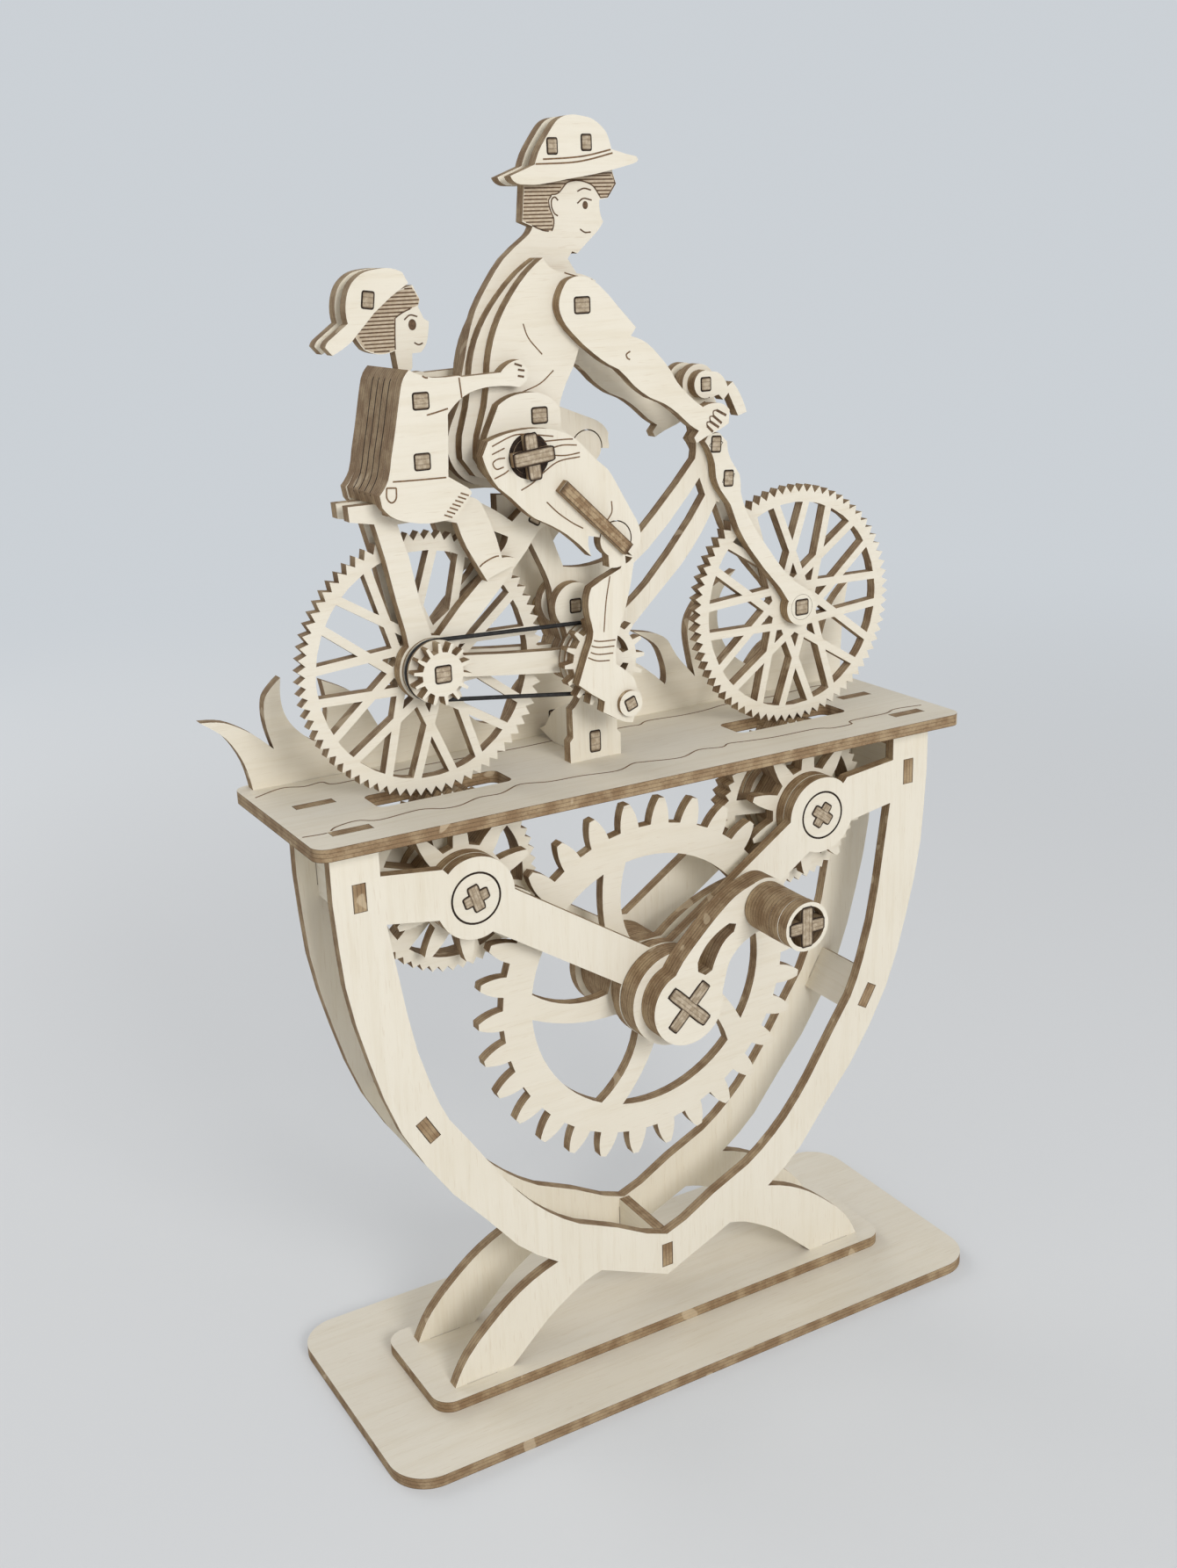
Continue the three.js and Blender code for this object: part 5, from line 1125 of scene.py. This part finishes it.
# Washers that hold the shoes on the pedals, each with the pin's square end in it
washer = {"pedal": (-6.1, 172.387), "radius": 3.1, "sides": 32, "thick": 1.2, "pin": 2.6, "pinTurn": 20}


def addWasher(side):
    word = sideWords[side]
    near, centre = Vector(washer["pedal"]), Vector(pivots["pedal_spin"])
    place = near if side == "front" else 2 * centre - near  # the pedals are half a turn apart
    level = planeOf(side, legs["out"])
    overlay = Overlay(side, level, washer["thick"])
    overlay.area([place + washer["radius"] * way for way in compass(washer["sides"])])
    overlay.finish(word + "_shoe_washer", word + "_shin_body", plyMaterial(axes["y"], level, "x"))
    outer = level + washer["thick"] * away[side]
    addTenons(word + "_shoe_pin_end", word + "_shin_body",
              [(side, place.x, outer, place.y, washer["pin"], washer["pin"], washer["pinTurn"])])


for side in away:
    addWasher(side)
addTenons("wall_pin_end", "stand", [("front", -4.7, faceOf("splash_wall", "front"), 160.3, 3.0, 2.6, 0)])

# Seams between the sheets of the child's body, followed down the side that faces away from the rider
seams = {"first": -0.3, "count": 4, "low": 225.5, "high": 249.5, "step": 0.8, "wide": 0.34, "proud": 0.05,
         "outside": -200.0, "beside": 0.2}


def addSeams():
    data = bpy.data.objects["child_core_cut"].data
    tree = BVHTree.FromPolygons([vertex.co for vertex in data.vertices],
                                [tuple(face.vertices) for face in data.polygons])
    points, faces = [], []
    rings = int((seams["high"] - seams["low"]) / seams["step"]) + 1
    for seam in range(seams["count"]):
        level = seams["first"] + ply * seam
        faces += tubeFaces(len(points), rings, 4, False)
        for ring in range(rings):
            height = seams["low"] + seams["step"] * ring
            outside = Vector((seams["outside"], level + seams["beside"], height)) * mm
            spot = tree.ray_cast(outside, Vector(axes["x"]))[0]
            for out, across in ((-1, -1), (-1, 1), (1, 1), (1, -1)):
                shift = Vector((out * seams["proud"], level + across * seams["wide"] / 2 - spot.y / mm, 0))
                points.append(spot + shift * mm)
    made = addMesh("child_body_seams", points, faces, char_and_painted_shade, "stand")
    outwards(made)


addSeams()
print("washers and seams made")

# The room, the light and the camera
room = {
    "floor": (0.80, 0.80, 0.79, 1),
    "floorCloud": (0.74, 0.74, 0.73, 1),
    "floorSize": 4.0,
    "world": (0.86, 0.87, 0.90, 1),
    "worldStrength": 0.56,
    "backdrop": (0.60, 0.635, 0.67, 1),
    "fadeStart": 0.25,  # the floor runs into the backdrop between these distances, without an edge
    "fadeEnd": 1.1,
    "nearVeil": 0.32,
}
lamps = {
    "key": {"place": (-0.02, -1.04, 0.58), "aim": (0, 0, 0.14), "size": 0.4, "power": 6.3},
    "fill": {"place": (-0.9, -0.4, 0.5), "aim": (0, 0, 0.14), "size": 0.7, "power": 0.4},
    "back": {"place": (-0.3, 1.0, 0.6), "aim": (0, 0, 0.16), "size": 0.6, "power": 3.4},
}
camera = {
    "azimuth": -29.72,
    "elevation": 18.04,
    "roll": -1.97,
    "distance": 408.44,
    "target": (-12.01, 0.0, 150.78),
    "lens": 51.64,
    "sensor": 36.0,
}


def floorMaterial():
    recipe = Recipe(bpy.data.materials.new("pale_floor"))
    place = recipe.node("ShaderNodeTexCoord").out("Object")
    colour = recipe.mix(recipe.noise(place, 3.0) * 0.06, room["floor"], room["floorCloud"])
    far = recipe.vector("LENGTH", place, out="Value").span(room["fadeStart"], room["fadeEnd"])
    veil = recipe.seen() * (room["nearVeil"] + far * (1 - room["nearVeil"]))
    paper = recipe.node("ShaderNodeEmission", {}, {"Color": room["backdrop"]})
    return recipe.close(recipe.node("ShaderNodeMixShader", {}, [veil, recipe.surface(colour, 0.7), paper]))


def addFloor():
    half = room["floorSize"] / 2
    corners = [(-half, -half, 0), (half, -half, 0), (half, half, 0), (-half, half, 0)]
    mesh = bpy.data.meshes.new("floor")
    mesh.from_pydata(corners, [], [(0, 1, 2, 3)])
    mesh.materials.append(floorMaterial())
    newObject("floor", mesh)


def addLamp(name, look):
    lamp = bpy.data.lights.new(name, "AREA")
    lamp.size = look["size"]
    lamp.energy = look["power"]
    made = newObject(name, lamp)
    made.location = look["place"]
    made.rotation_euler = (Vector(look["aim"]) - Vector(look["place"])).to_track_quat("-Z", "Y").to_euler()


def addWorld():
    recipe = Recipe(bpy.data.worlds.new("studio"))
    lit = {"Color": room["world"], "Strength": room["worldStrength"]}
    light = recipe.node("ShaderNodeBackground", {}, lit)
    paper = recipe.node("ShaderNodeBackground", {}, {"Color": room["backdrop"]})
    both = recipe.node("ShaderNodeMixShader", {}, [recipe.seen(), light, paper])
    bpy.context.scene.world = recipe.close(both, "ShaderNodeOutputWorld")


def addCamera():
    azimuth, elevation = math.radians(camera["azimuth"]), math.radians(camera["elevation"])
    level = math.cos(elevation)
    out = Vector((math.sin(azimuth) * level, -math.cos(azimuth) * level, math.sin(elevation)))
    data = bpy.data.cameras.new("camera")
    data.sensor_fit = "HORIZONTAL"
    data.sensor_width = camera["sensor"]
    data.lens = camera["lens"]
    data.clip_start = 0.01
    made = newObject("camera", data)
    roll = Matrix.Rotation(math.radians(camera["roll"]), 3, "Z")
    made.location = (Vector(camera["target"]) + out * camera["distance"]) * mm
    made.rotation_euler = ((-out).to_track_quat("-Z", "Y").to_matrix() @ roll).to_euler()
    bpy.context.scene.camera = made


addFloor()
addWorld()
for name, look in lamps.items():
    addLamp(name, look)
addCamera()
bpy.context.scene.view_settings.view_transform = "Standard"

print("scene ready")
